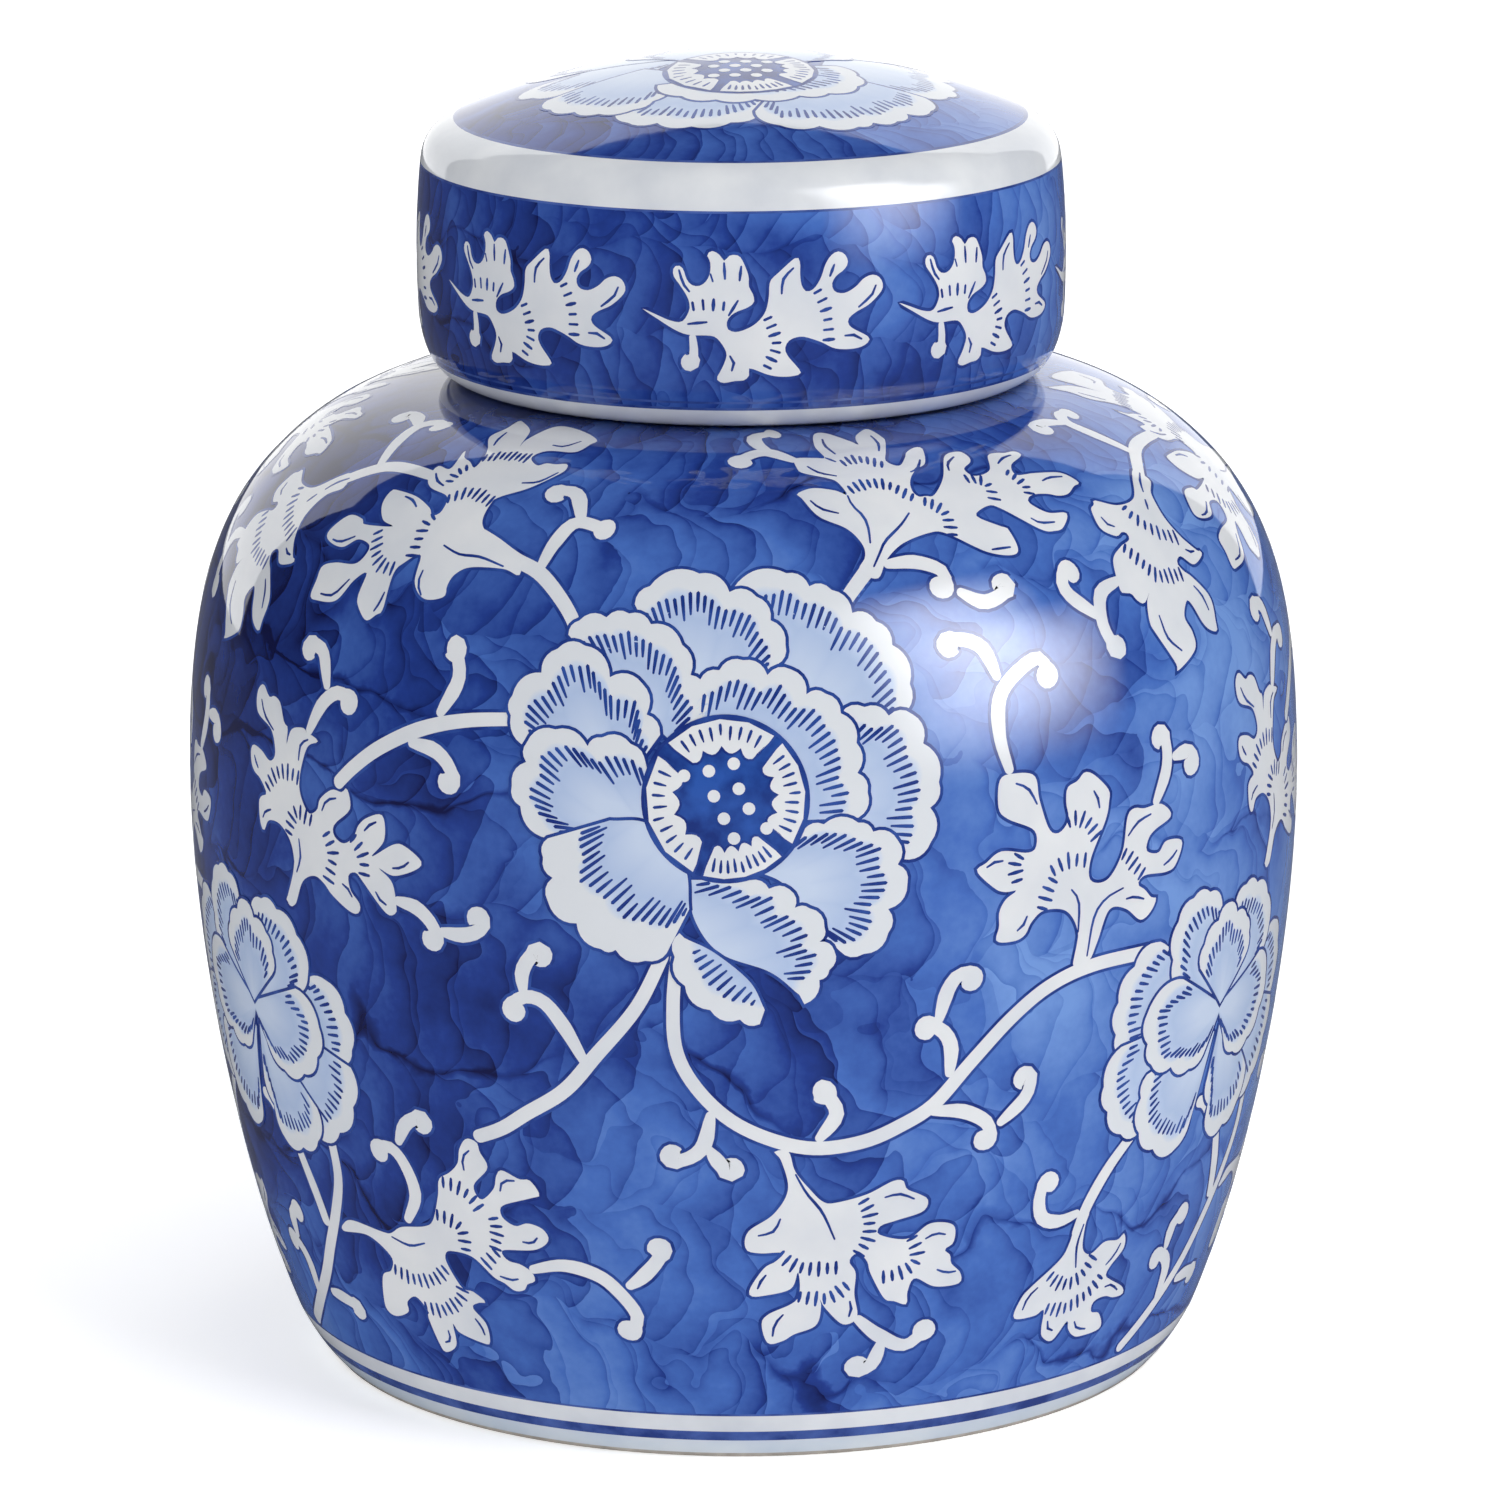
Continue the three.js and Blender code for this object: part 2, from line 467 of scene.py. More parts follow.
def stroke(bm, ground, points, half, layer, colour=WHITE, pencil_layer=None, bulb=0.0, step=1.7):
    """One pull of a brush: half widths along the line, round ends, and a drop of paint at the end."""
    line = bend(points)
    run = np.r_[0, np.cumsum(np.hypot(*np.diff(line, axis=0).T))]
    total = run[-1]
    first, last = half[0], max(half[-1], bulb)
    lead, tail = min(first, total * 0.3), min(max(last, bulb * 2), total * 0.5)
    ends = 2 if colour == NAVY else 5  # fine ticks simply come to a point
    round_in = lead * (1 - np.cos(np.linspace(0, math.pi / 2, ends)))
    middle = np.linspace(lead, total - tail, max(2, math.ceil((total - tail - lead) / step) + 1))[1:-1]
    angles = np.linspace(math.pi, 0, 8) if bulb else np.linspace(math.pi / 2, 0, ends)
    round_out = total - (tail / 2 if bulb else tail) * (1 - np.cos(angles))
    at = np.r_[round_in, middle, round_out]
    width = np.interp(at, np.linspace(0, total, len(half)), half)
    start, end = at, total - at
    rounding = np.sqrt(np.maximum(first**2 - (first - start) ** 2, 0))
    width = np.where(start < first, np.minimum(width, rounding), width)
    drop = np.sqrt(np.maximum(last**2 - (last - np.minimum(end, 2 * last)) ** 2, 0))
    width = np.where(end < last, drop, np.maximum(width, drop) if bulb else width)
    x, s = np.interp(at, run, line[:, 0]), np.interp(at, run, line[:, 1])
    k = ground.squeeze(s)
    dx, ds = np.gradient(x, at) * k, np.gradient(s, at)
    length = np.hypot(dx, ds)
    nx, ns = -ds / length / k, dx / length

    def shape(along, across):
        i = np.rint(along * (len(at) - 1)).astype(int)
        off = width[i] * (2 * across - 1)
        return np.c_[x[i] + nx[i] * off, s[i] + ns[i] * off], np.zeros_like(along)

    faces = patch(bm, len(at) - 1, 1 if colour == NAVY else 2, shape, layer, colour)
    if pencil_layer is not None:
        pencilled(bm, ground, faces, pencil_layer)
    return faces


def painted(name, bm, ground, copies, body, colours):
    """Wraps a flat painting onto its ground, so many times round, as thin closed layers."""
    flat = list(bm.verts) + list(bm.edges) + list(bm.faces)
    turn = math.tau / copies
    for i in range(1, copies):
        copy = bmesh.ops.duplicate(bm, geom=flat)["geom"]
        moved = [g for g in copy if isinstance(g, bmesh.types.BMVert)]
        bmesh.ops.translate(bm, vec=(turn * ground.reach * i, 0, 0), verts=moved)
    low = list(bm.verts)
    bmesh.ops.extrude_face_region(bm, geom=list(bm.faces), use_keep_orig=True)
    for v in low:
        v.co.z = BED
    bmesh.ops.recalc_face_normals(bm, faces=bm.faces)
    for face in bm.faces:
        face.smooth = face.normal.z > 0.5
    piece = made(name, bm, colours, body)
    mesh = piece.data
    at = np.empty(len(mesh.vertices) * 3)
    mesh.vertices.foreach_get("co", at)
    across, up, layer = at.reshape(-1, 3).T
    places, outward = ground.place(across, up, layer * STEP)
    mesh.vertices.foreach_set("co", places.ravel())
    corners = np.empty(len(mesh.loops), int)
    mesh.loops.foreach_get("vertex_index", corners)
    sides = np.empty(len(mesh.polygons), int)
    mesh.polygons.foreach_get("loop_total", sides)
    smooth = np.empty(len(mesh.polygons), bool)
    mesh.polygons.foreach_get("use_smooth", smooth)
    normals = outward[corners] * np.repeat(smooth, sides)[:, None]
    mesh.update()
    mesh.normals_split_custom_set(normals.tolist())
    return piece


leaf_white = mottled("reserved_white", (208, 211, 216), (222, 223, 224), 45)
pencil = mottled("navy_pencil", (26, 46, 118), (48, 78, 152), 160)
scroll = bmesh.new()
VINES = (
    ((-45, 164.6), (-59, 163), (-70, 160), (-80, 155), (-87, 150), (-92.5, 145)),
    ((-16, 119), (-22, 107), (-31, 96), (-38, 88), (-47, 82), (-53, 78), (-60, 75)),
    (
        (-13.5, 119), (-14.5, 108), (-14, 98), (-10, 90), (-3, 83), (6, 78.5), (15, 76.5), (25, 77.5),
        (33, 80.5), (40, 84.5), (48, 93), (57, 101.5), (66, 107), (77, 109.5), (93, 109.5),
    ),
    ((-118, 62), (-114, 52), (-112, 44.5)),
    ((-103, 68), (-103, 58), (-107, 49), (-113, 40), (-120, 31), (-130, 22), (-140, 14.5)),
    ((-131, 71), (-127, 70), (-123, 66)),
    ((-34, 179), (-39, 187), (-47, 194), (-55, 197), (-62, 200), (-68, 202)),
    ((-92, 214), (-102, 214.5), (-110, 214), (-116, 212), (-124, 207), (-130, 201)),
    ((19, 185), (24, 191), (31, 198), (40, 206)),
    ((94, 70), (87, 63), (82, 55), (80, 48)),
    ((-108, 117), (-105, 123), (-104, 128)),
    ((72, 109.5), (73.6, 116), (73.6, 122)),
)
for i, vine in enumerate(VINES):
    stroke(scroll, jar_side, vine, (1.3, 1.55, 1.45), 4 + 0.5 * (i % 2), pencil_layer=1)
CURLS = (
    ((-115.5, 213), (-121, 221), (-123, 227), (-118, 230), (-112, 228)),
    ((-124, 227), (-130, 229), (-137, 229), (-136, 225)), ((-48, 195), (-46, 202), (-42, 207), (-32, 205)),
    ((-41, 207), (-45, 214), (-50, 215), (-53, 212)), ((-66, 163), (-62, 171), (-64, 177), (-66, 178)),
    ((-102, 154), (-98, 161), (-93, 164), (-88, 161)), ((-97, 164), (-100, 171), (-104, 172), (-106, 169)),
    ((-73, 157), (-66, 156), (-62, 152), (-64, 148)), ((-76, 124), (-70, 123), (-66, 119), (-68, 115)),
    ((-65, 119), (-59, 119), (-55, 121), (-57, 125)),
    ((-33, 94), (-37.5, 102), (-42, 107), (-47, 107), (-49, 102)),
    ((-46, 108), (-46, 113), (-43, 117), (-40, 115)),
    ((-82, 52), (-78, 59), (-80, 66), (-84, 69), (-89, 66)), ((-81, 70), (-78, 75), (-74, 77), (-72, 74)),
    ((-50, 46), (-42, 48), (-35, 47), (-30, 44), (-25, 37), (-29, 32)),
    ((-27, 44), (-23, 47), (-19, 52), (-20, 56)), ((-128, 24), (-128, 32), (-132, 36), (-137, 35)),
    ((-131, 37), (-130, 43), (-124, 45)), ((-120, 27), (-114, 27), (-109, 26), (-108, 23)),
    ((25, 37), (31, 32), (38, 29), (44, 34)), ((32, 31), (30, 25), (27, 24), (25, 27)),
    ((-7, 85), (-9, 77), (-14, 74), (-17, 77)), ((-8, 77), (-4, 72), (-1, 74)),
    ((15, 78), (19, 84), (16, 89), (14, 90)), ((39, 83), (47, 82), (53, 78), (51, 73)),
    ((55, 78), (61, 83), (62, 87), (58, 88)), ((80, 54), (74, 53), (69, 55), (68, 61), (72, 64)),
    ((56, 152), (54, 160), (55, 168), (61, 173), (66, 174), (67, 168)),
    ((55, 171), (52, 178), (46, 180), (43, 177)), ((93, 140), (97, 147), (97, 153), (93, 154)),
    ((99, 149), (105, 149), (105, 144)), ((43, 90), (43, 97), (40, 101), (35, 101)),
    ((40, 102), (42, 109), (45, 112), (49, 109)), ((9, 231), (5, 235), (5, 239), (14, 241)),
    ((17, 227), (8, 231), (1, 229), (-2, 225)), ((33, 197), (41, 197), (47, 194), (44, 189)),
    ((49, 190), (55, 187), (61, 189), (59, 192)), ((84, 180), (77, 186), (77, 190), (82, 191)),
    ((93, 187), (86, 185), (84, 179), (86, 174), (89, 174)),
)
for i, curl in enumerate(CURLS):
    stroke(scroll, jar_side, curl, (1.0, 1.6, 1.45, 1.35), 5 + 0.5 * (i % 2), pencil_layer=2, bulb=2.6)
painted("jar_vine_scroll", scroll, jar_side, ROUND_JAR, "jar", [leaf_white, pencil])

# ---------------------------------------------------------------- Painting on the jar: leaf sprays
# Ragged leaves grow from the vine. Each is one white shape cut out along a closed
# line, with short navy ticks standing in rows across it and fine navy veins.


def cut_out(bm, ground, outline_points, layer, pencil_layer, cell=2.0):
    """A shape cut out along a closed hand-drawn line, scored both ways so that it can bend."""
    line = bend(outline_points, 0.8, closed=True)[:-1]
    face = bm.faces.new([bm.verts.new((x, s, layer)) for x, s in line])
    face.normal_update()
    if face.normal.z < 0:
        face.normal_flip()
    face.material_index = WHITE
    parts = [face, *face.edges, *face.verts]
    for axis in (0, 1):
        for at in np.arange(line[:, axis].min() + cell / 2, line[:, axis].max(), cell):
            where, way = [0, 0, 0], [0, 0, 0]
            where[axis], way[axis] = at, 1
            parts = bmesh.ops.bisect_plane(bm, geom=parts, dist=1e-4, plane_co=where, plane_no=way)["geom"]
    faces = [part for part in parts if isinstance(part, bmesh.types.BMFace)]
    pencilled(bm, ground, faces, pencil_layer)


def comb(bm, ground, points, layer, length=4.0, pitch=1.9, thick=0.42):
    """A row of short navy ticks standing across a line."""
    line = bend(points, 0.25)
    count = max(3, round(np.hypot(*np.diff(line, axis=0).T).sum() / pitch) + 1)
    spots = evenly(line, count=count)
    along = np.gradient(spots, axis=0)
    for i, ((x, s), (dx, ds)) in enumerate(zip(spots, along)):
        size = length * (0.5 + 0.07 * ((i * 7) % 3 - 1)) / math.hypot(dx, ds)
        a, b = (x - ds * size, s + dx * size), (x + ds * size, s - dx * size)
        stroke(bm, ground, (a, b), (thick * 0.7, thick, thick * 0.6), layer, NAVY, step=2.0)


def spray(bm, ground, edge, combs, veins, layer=6, pencil_layer=3, tick=3.4):
    """One leaf spray: its outline, then rows of ticks and veins drawn on it."""
    cut_out(bm, ground, edge, layer, pencil_layer)
    for points in combs:
        comb(bm, ground, points, layer + 1, tick)
    for points in veins:
        stroke(bm, ground, points, (0.2, 0.34, 0.2), layer + 1, NAVY, step=2.0)


# Open point: these points were converted, thinned and rounded by a separate script, and not
# chosen by hand. They should be redrawn from a few lobes, arcs and curves.
SPRAYS = (  # outline, rows of ticks, veins
    (  # upper left of the flower, with a side branch
        (
            (-57, 194.5), (-65.5, 194), (-69, 192), (-70, 189.5), (-70, 187), (-75, 186), (-79, 189),
            (-80.5, 195), (-84.5, 192.5), (-86, 190), (-85.5, 182.5), (-87, 181), (-89.5, 179.5),
            (-93, 182), (-94, 184), (-94, 189), (-97, 187), (-100.5, 182), (-107, 181), (-109.5, 181.5),
            (-109.5, 185), (-109.5, 188), (-105.5, 189.5), (-98.5, 190.5), (-97, 194.5), (-102, 195.5),
            (-106, 193), (-112, 193.5), (-114, 195.5), (-110.5, 200), (-105, 200), (-103, 199),
            (-93.5, 200), (-98, 201), (-102, 204.5), (-102.5, 208), (-100, 208.5), (-92.5, 208), (-86, 206),
            (-84, 204.5), (-82.5, 204.5), (-81.5, 206), (-83, 209.5), (-90.5, 211), (-94, 213.5),
            (-94.5, 217), (-89.5, 217), (-91.5, 223), (-89, 221), (-85.5, 220), (-82, 218.5), (-82.5, 222),
            (-84.5, 225), (-89, 228.5), (-90, 230.5), (-89, 234), (-90, 238), (-87.5, 238), (-79, 234.5),
            (-75, 228), (-75.5, 231), (-73, 238), (-67, 239), (-57.5, 237), (-51, 234), (-52, 232),
            (-53, 229.5), (-55.5, 228), (-64, 227.5), (-67, 224.5), (-63, 222), (-60.5, 223), (-57.5, 223),
            (-54, 223.5), (-53, 222), (-54, 220), (-60, 215), (-67, 211.5), (-68.5, 209.5), (-67.5, 204),
            (-60, 199.5), (-54, 197.5), (-52.5, 193.5),
        ),
        (
            ((-82, 222), (-77.5, 223.5), (-73, 224), (-68, 224)), ((-84.5, 218), (-86, 216), (-86, 213.5)),
            ((-82, 209), (-78.5, 211), (-75, 211.5), (-69, 210)),
            ((-83, 204), (-84, 202), (-83.5, 199), (-83, 194.5)),
            ((-97, 198), (-95, 195), (-93, 192.5), (-90, 191), (-87, 191)),
        ),
        (
            ((-86.5, 232.5), (-85.5, 229), (-84, 226.5)), ((-64.5, 230), (-60, 230), (-56, 233)),
            ((-63.5, 216), (-58.5, 217), (-54.5, 220.5)), ((-93, 215), (-90, 213), (-86.5, 212)),
            ((-96.5, 207.5), (-93, 207), (-90, 205.5)), ((-111, 194), (-107.5, 194), (-103.5, 196)),
            ((-106.5, 182.5), (-102, 183), (-98.5, 187)), ((-86.5, 186), (-87, 183.5), (-88, 181.5)),
            ((-75.5, 198), (-70, 196.5), (-64, 196.5), (-57, 195)), ((-78, 192), (-78, 189), (-76, 186.5)),
        ),
    ),
    (  # hanging at the end of the arch
        (
            (123.5, 209), (120, 207.5), (113.5, 203), (106, 202.5), (100.5, 204.5), (99, 205), (98, 204),
            (96, 203), (95, 198.5), (98.5, 196), (101, 196.5), (102.5, 196), (102, 194.5), (98, 193.5),
            (93.5, 191), (92, 185), (93, 184), (95, 183.5), (96, 182), (98, 181), (101, 183), (99, 181),
            (98, 177), (99, 174.5), (103.5, 167.5), (104, 166), (111, 169), (111.5, 172.5), (110, 176),
            (112.5, 179), (114, 178), (116, 174), (118, 172), (121, 171), (121.5, 173), (122, 178),
            (118, 183), (115.5, 185), (114.5, 187), (117, 188), (120.5, 185.5), (125.5, 186.5),
            (126, 187.5), (124.5, 188), (121, 192), (119.5, 197), (121.5, 202.5), (126, 205.5),
        ),
        (
            ((107.5, 201.5), (108, 199.5), (110, 197), (113, 194.5), (116, 193), (119, 192)),
            ((99, 193), (101.5, 190), (105, 186), (109, 185), (114, 184.5)),
        ),
        (
            ((97.5, 201), (98, 199), (100, 198)), ((115.5, 199.5), (117.5, 202)),
            ((119, 203.5), (121.5, 206), (125, 208)), ((120, 189), (122, 188), (123.5, 188)),
            ((117, 181.5), (119, 179), (120, 175.5)), ((101.5, 178), (102.5, 173), (106.5, 169.5)),
        ),
    ),
    (  # above the flower on the right
        (
            (27, 196), (29, 199), (29, 202), (26, 206), (19.5, 209.5), (16, 214.5), (15, 216),
            (19.5, 217.5), (25.5, 216.5), (28.5, 215), (27, 219), (24.5, 220.5), (18, 222.5), (16.5, 224),
            (16.5, 228), (23, 228), (26, 228), (24.5, 233), (26.5, 239), (31, 239.5), (37.5, 234.5),
            (39.5, 232.5), (40, 235), (42, 237.5), (48, 240), (50, 235), (49.5, 233), (46.5, 228.5),
            (44.5, 225), (47.5, 223), (51, 225.5), (53, 227.5), (56.5, 229), (59, 229), (59, 227.5),
            (56, 223), (52.5, 221.5), (49.5, 219.5), (47.5, 217), (47, 214.5), (48, 213), (50, 213),
            (52.5, 213), (58, 217.5), (64, 224.5), (70, 225.5), (71.5, 223.5), (70.5, 221.5), (66.5, 219.5),
            (68, 217), (74, 218), (78, 222.5), (81.5, 223), (84.5, 222.5), (88, 222.5), (89.5, 221.5),
            (88.5, 220.5), (82.5, 218.5), (81, 215.5), (87, 215), (94.5, 214), (97.5, 212.5), (99, 210),
            (96.5, 209.5), (92.5, 208), (89, 208), (86, 209), (82, 209.5), (79.5, 209), (78.5, 207.5),
            (82, 204.5), (87.5, 203.5), (84, 200.5), (81, 200), (77, 201), (69, 207.5), (66, 208.5),
            (61.5, 207), (62, 205.5), (66.5, 203), (68, 202), (67.5, 196.5), (60, 197.5), (51, 203),
            (46.5, 203.5), (39, 201.5), (34, 198), (31, 194),
        ),
        (
            ((31, 225.5), (33.5, 226.5), (36, 226.5), (38.5, 226), (42.5, 224)),
            ((30, 216.5), (32.5, 217.5), (36.5, 218), (41, 217), (46, 213)),
            ((49, 211.5), (51.5, 210), (53, 208), (53, 206), (52.5, 202.5)),
            ((65, 216.5), (68, 216), (70, 214), (69, 210)),
            ((79, 216.5), (80.5, 214), (81, 211.5), (80.5, 210)),
        ),
        (
            ((28.5, 236.5), (28, 233), (30, 229)), ((46.5, 236.5), (46.5, 232.5), (44.5, 229)),
            ((19.5, 225), (22.5, 222.5), (27.5, 221)), ((49.5, 220.5), (52.5, 221.5), (55.5, 224.5)),
            ((61.5, 219.5), (63, 222), (67, 224)), ((78.5, 219.5), (82, 221), (86, 221.5)),
            ((87.5, 212.5), (91, 213), (95.5, 212.5)), ((76, 204), (78, 202.5), (82.5, 202)),
            ((61, 198), (64, 198), (66.5, 198)), ((18, 214), (20.5, 211.5), (25, 210)),
            ((28.5, 215), (29, 212), (31, 209), (31.5, 206), (31, 202)),
            ((43.5, 209), (40, 206), (35, 202.5), (33, 200), (30.5, 196.5)), ((26, 228), (29, 226)),
        ),
    ),
    (  # left, half way up
        (
            (-109, 118), (-107, 120.5), (-105.5, 123.5), (-106.5, 130), (-110.5, 133.5), (-115, 133.5),
            (-117, 131), (-118.5, 132.5), (-119, 136.5), (-118, 138), (-116, 139), (-118.5, 141.5),
            (-121, 142.5), (-122.5, 144), (-123, 146.5), (-122, 148), (-118.5, 147.5), (-115, 146),
            (-113, 148), (-115, 152.5), (-121, 155), (-122, 159), (-120, 161), (-117, 159), (-115, 159.5),
            (-112.5, 158.5), (-110.5, 155), (-109, 154), (-109, 150.5), (-107.5, 154), (-103.5, 155),
            (-102, 154), (-100.5, 154), (-98.5, 153), (-102, 151), (-104, 143), (-101, 138), (-98, 139),
            (-97, 141.5), (-93.5, 144), (-90.5, 144), (-89, 145), (-88, 141), (-92, 137.5), (-93, 136),
            (-92.5, 134.5), (-90.5, 133.5), (-88.5, 134), (-86.5, 136), (-85.5, 138), (-83, 140),
            (-79, 141), (-78.5, 136), (-82, 132), (-76, 135.5), (-73, 135.5), (-69, 133), (-70.5, 131),
            (-76, 129), (-80, 130), (-76.5, 127.5), (-75.5, 122.5), (-76, 121), (-78.5, 121), (-85, 127),
            (-86.5, 128), (-88.5, 127), (-88, 124), (-85.5, 121.5), (-86, 119.5), (-88.5, 119.5),
            (-93.5, 122), (-96, 124), (-99, 125), (-103, 123), (-106, 117.5),
        ),
        (
            ((-115.5, 140.5), (-113.5, 143), (-111, 144.5), (-108, 145), (-104.5, 144.5)),
            ((-107.5, 132.5), (-106.5, 135.5), (-104.5, 137.5), (-100, 136.5)),
            ((-95, 134.5), (-93.5, 132), (-93, 130), (-94.5, 125)),
            ((-87, 135), (-85, 133), (-84, 131), (-84, 128)),
        ),
        (
            ((-120, 158), (-118, 155), (-114, 152.5)), ((-121.5, 146), (-120.5, 144.5), (-119.5, 143.5)),
            ((-117.5, 133.5), (-116.5, 135), (-114, 136)), ((-101.5, 153), (-104, 151.5), (-104.5, 148)),
            ((-96.5, 139), (-95, 141.5), (-92, 142.5)), ((-84, 137), (-82.5, 138.5), (-80.5, 139.5)),
            ((-76.5, 130.5), (-74, 131), (-72, 132.5)), ((-81, 125), (-80, 123.5), (-78, 122.5)),
            ((-90.5, 125), (-88.5, 124), (-87.5, 122.5)), ((-104, 132), (-103.5, 128), (-105, 124.5)),
        ),
    ),
    (  # right, half way up
        (
            (71.5, 110.5), (72, 117), (69, 122), (63.5, 123), (60.5, 121), (59, 118.5), (56.5, 117.5),
            (52.5, 118), (53, 121), (53, 124), (54.5, 126.5), (57, 128), (54.5, 128), (52, 129), (48, 133),
            (50, 134.5), (53.5, 136.5), (59.5, 135.5), (61.5, 136.5), (61, 140), (55, 143), (53, 145.5),
            (53.5, 151), (56.5, 152), (61.5, 151), (62.5, 146), (64.5, 140), (66.5, 138.5), (68.5, 139.5),
            (69.5, 141.5), (69, 144.5), (69.5, 147.5), (72, 148.5), (74, 150), (76.5, 149), (80, 145.5),
            (80, 143), (79, 139.5), (75, 132), (75, 127.5), (79.5, 127), (83.5, 132), (85, 139),
            (87, 140.5), (90, 140), (95, 140), (98, 137), (93, 135), (91, 133.5), (90.5, 131), (94, 130),
            (96.5, 132), (101.5, 131), (99.5, 126.5), (96.5, 125.5), (90, 126), (88, 124.5), (90, 123),
            (92, 121), (93.5, 120.5), (92.5, 118.5), (90.5, 117), (88.5, 117), (84.5, 120), (80, 120.5),
            (77, 114), (75, 110.5),
        ),
        (
            ((69.5, 140.5), (71.5, 141), (74.5, 139.5), (76.5, 136.5)),
            ((65.5, 131), (67.5, 132), (69.5, 132.5), (73.5, 132)), ((65.5, 129), (64.5, 127.5), (63, 123.5)),
            ((57.5, 135), (56.5, 133.5), (57, 130)), ((84, 131.5), (85.5, 130.5), (87, 128.5), (89, 126.5)),
        ),
        (
            ((57, 150), (60, 148.5), (62, 145)), ((76, 146), (77, 144.5), (77.5, 142)),
            ((50, 133.5), (52, 134.5), (54, 134.5)), ((57, 119.5), (58.5, 120.5), (59.5, 122.5)),
            ((85, 135), (88, 137.5), (92, 138.5)), ((95.5, 127), (98, 128), (100, 129.5)),
            ((84.5, 122), (87, 122), (90, 121)), ((70, 126.5), (72, 123.5), (72, 117)),
            ((84, 124.5), (79, 123), (76, 119.5), (74.5, 111.5)),
        ),
    ),
    (  # low on the left
        (
            (-105.5, 45), (-104.5, 47), (-100.5, 48.5), (-90, 48), (-87.5, 48.5), (-84, 50.5), (-77, 52),
            (-74, 54), (-71.5, 60), (-70.5, 64), (-67.5, 66), (-65, 68.5), (-64, 72), (-62, 74.5),
            (-59.5, 74), (-59, 72), (-57.5, 68.5), (-61.5, 64), (-60, 61), (-56.5, 64), (-55.5, 67),
            (-54, 68.5), (-50, 67), (-47.5, 67), (-45.5, 64), (-47.5, 63), (-54.5, 60.5), (-55.5, 58.5),
            (-54.5, 57), (-52, 56), (-49, 57), (-45.5, 56), (-44.5, 53.5), (-48, 51), (-55.5, 50),
            (-56.5, 49), (-55, 47.5), (-52, 47), (-49.5, 45.5), (-49, 43.5), (-51, 42.5), (-52, 41),
            (-54.5, 40.5), (-57, 42), (-59.5, 43), (-64.5, 47), (-70, 47.5), (-72, 46.5), (-72, 44),
            (-69, 39), (-66, 38.5), (-63, 36.5), (-65, 36), (-67, 34.5), (-64, 31), (-64, 26.5), (-66, 26),
            (-72.5, 27.5), (-74, 29.5), (-74.5, 24), (-78.5, 21.5), (-80, 23.5), (-81.5, 29.5), (-81, 31),
            (-84, 34), (-87.5, 32), (-88, 29.5), (-92.5, 27.5), (-95.5, 28), (-96, 30.5), (-94, 37),
            (-90.5, 39), (-89.5, 42.5), (-96, 46),
        ),
        (
            ((-69.5, 63.5), (-66, 63), (-62.5, 61), (-61, 59)),
            ((-72.5, 55.5), (-69.5, 55), (-66.5, 53.5), (-66, 50.5), (-66, 48.5)),
            ((-57.5, 57), (-57, 54.5), (-58, 50)), ((-58, 49), (-59.5, 47.5), (-61, 46)),
            ((-89, 39.5), (-85, 38.5), (-80.5, 38.5), (-76, 40), (-73, 42.5)),
            ((-81.5, 32), (-77, 32), (-73.5, 33.5), (-70, 36), (-69, 38.5)),
        ),
        (
            ((-61.5, 72), (-63.5, 70), (-63.5, 67)), ((-55, 63.5), (-54, 66), (-51, 66.5)),
            ((-51, 52.5), (-48.5, 52.5), (-47, 54)), ((-58, 43.5), (-55, 43), (-53, 43.5)),
            ((-76, 27.5), (-76, 25), (-78, 24)), ((-67, 32), (-65.5, 30), (-65, 28)),
            ((-88, 47.5), (-82.5, 46.5), (-77.5, 48)),
        ),
    ),
    (  # low in the middle
        (
            (6, 76), (7.5, 74), (9, 67.5), (6, 62), (0.5, 58), (0, 54), (3, 53), (8, 53), (6.5, 51),
            (4, 49.5), (1, 45), (1, 43), (4, 43), (10, 44.5), (11.5, 48.5), (11.5, 42), (5, 38.5),
            (3.5, 36), (5, 31.5), (8.5, 32), (11, 33.5), (16, 35.5), (17, 40), (16.5, 42), (18, 39.5),
            (22, 35.5), (25, 36), (25.5, 38), (24.5, 42.5), (24.5, 47.5), (23, 50), (23.5, 51.5), (25, 52),
            (27, 50), (28, 47), (31.5, 41), (34, 40), (37, 39), (37, 42), (38.5, 45), (43.5, 42.5),
            (49.5, 42.5), (49.5, 45), (47, 47.5), (46.5, 49.5), (45, 51), (47, 52.5), (46.5, 56.5),
            (41, 57.5), (36, 54.5), (29.5, 56), (29.5, 58), (33, 59), (39, 60.5), (40, 63), (38, 64.5),
            (35, 66), (34, 68), (31.5, 68), (26, 65.5), (19, 64), (16.5, 64.5), (14, 67), (10.5, 71.5),
            (9, 76),
        ),
        (
            ((25.5, 64), (27, 61), (27, 58.5), (27, 55.5), (25, 52)),
            ((37, 54.5), (38.5, 51), (38, 48.5), (34.5, 46.5), (31, 46)),
            ((7.5, 52.5), (10.5, 50), (14.5, 49), (20, 49)), ((12, 42.5), (15, 42), (19, 42), (22.5, 44.5)),
        ),
        (
            ((2.5, 57), (6, 58), (7.5, 61)), ((4.5, 48), (3, 46), (2.5, 44.5)),
            ((8.5, 38.5), (6.5, 36), (6, 33)), ((23.5, 41), (24, 39), (23.5, 37)),
            ((30, 64.5), (33.5, 65), (37, 63.5)), ((40, 54), (42.5, 55), (45, 54.5)),
            ((43.5, 46.5), (46, 45.5), (48.5, 45.5)), ((10.5, 71), (13, 66.5), (16.5, 62), (19.5, 55.5)),
        ),
    ),
    (  # a small one low on the right
        (
            (80, 53.5), (78.5, 47), (76.5, 43.5), (69.5, 38.5), (67, 36), (66, 31.5), (72, 31), (74.5, 32),
            (75, 27.5), (76, 25), (79.5, 23.5), (83, 27.5), (84, 25.5), (86, 23.5), (89, 22.5), (96, 23),
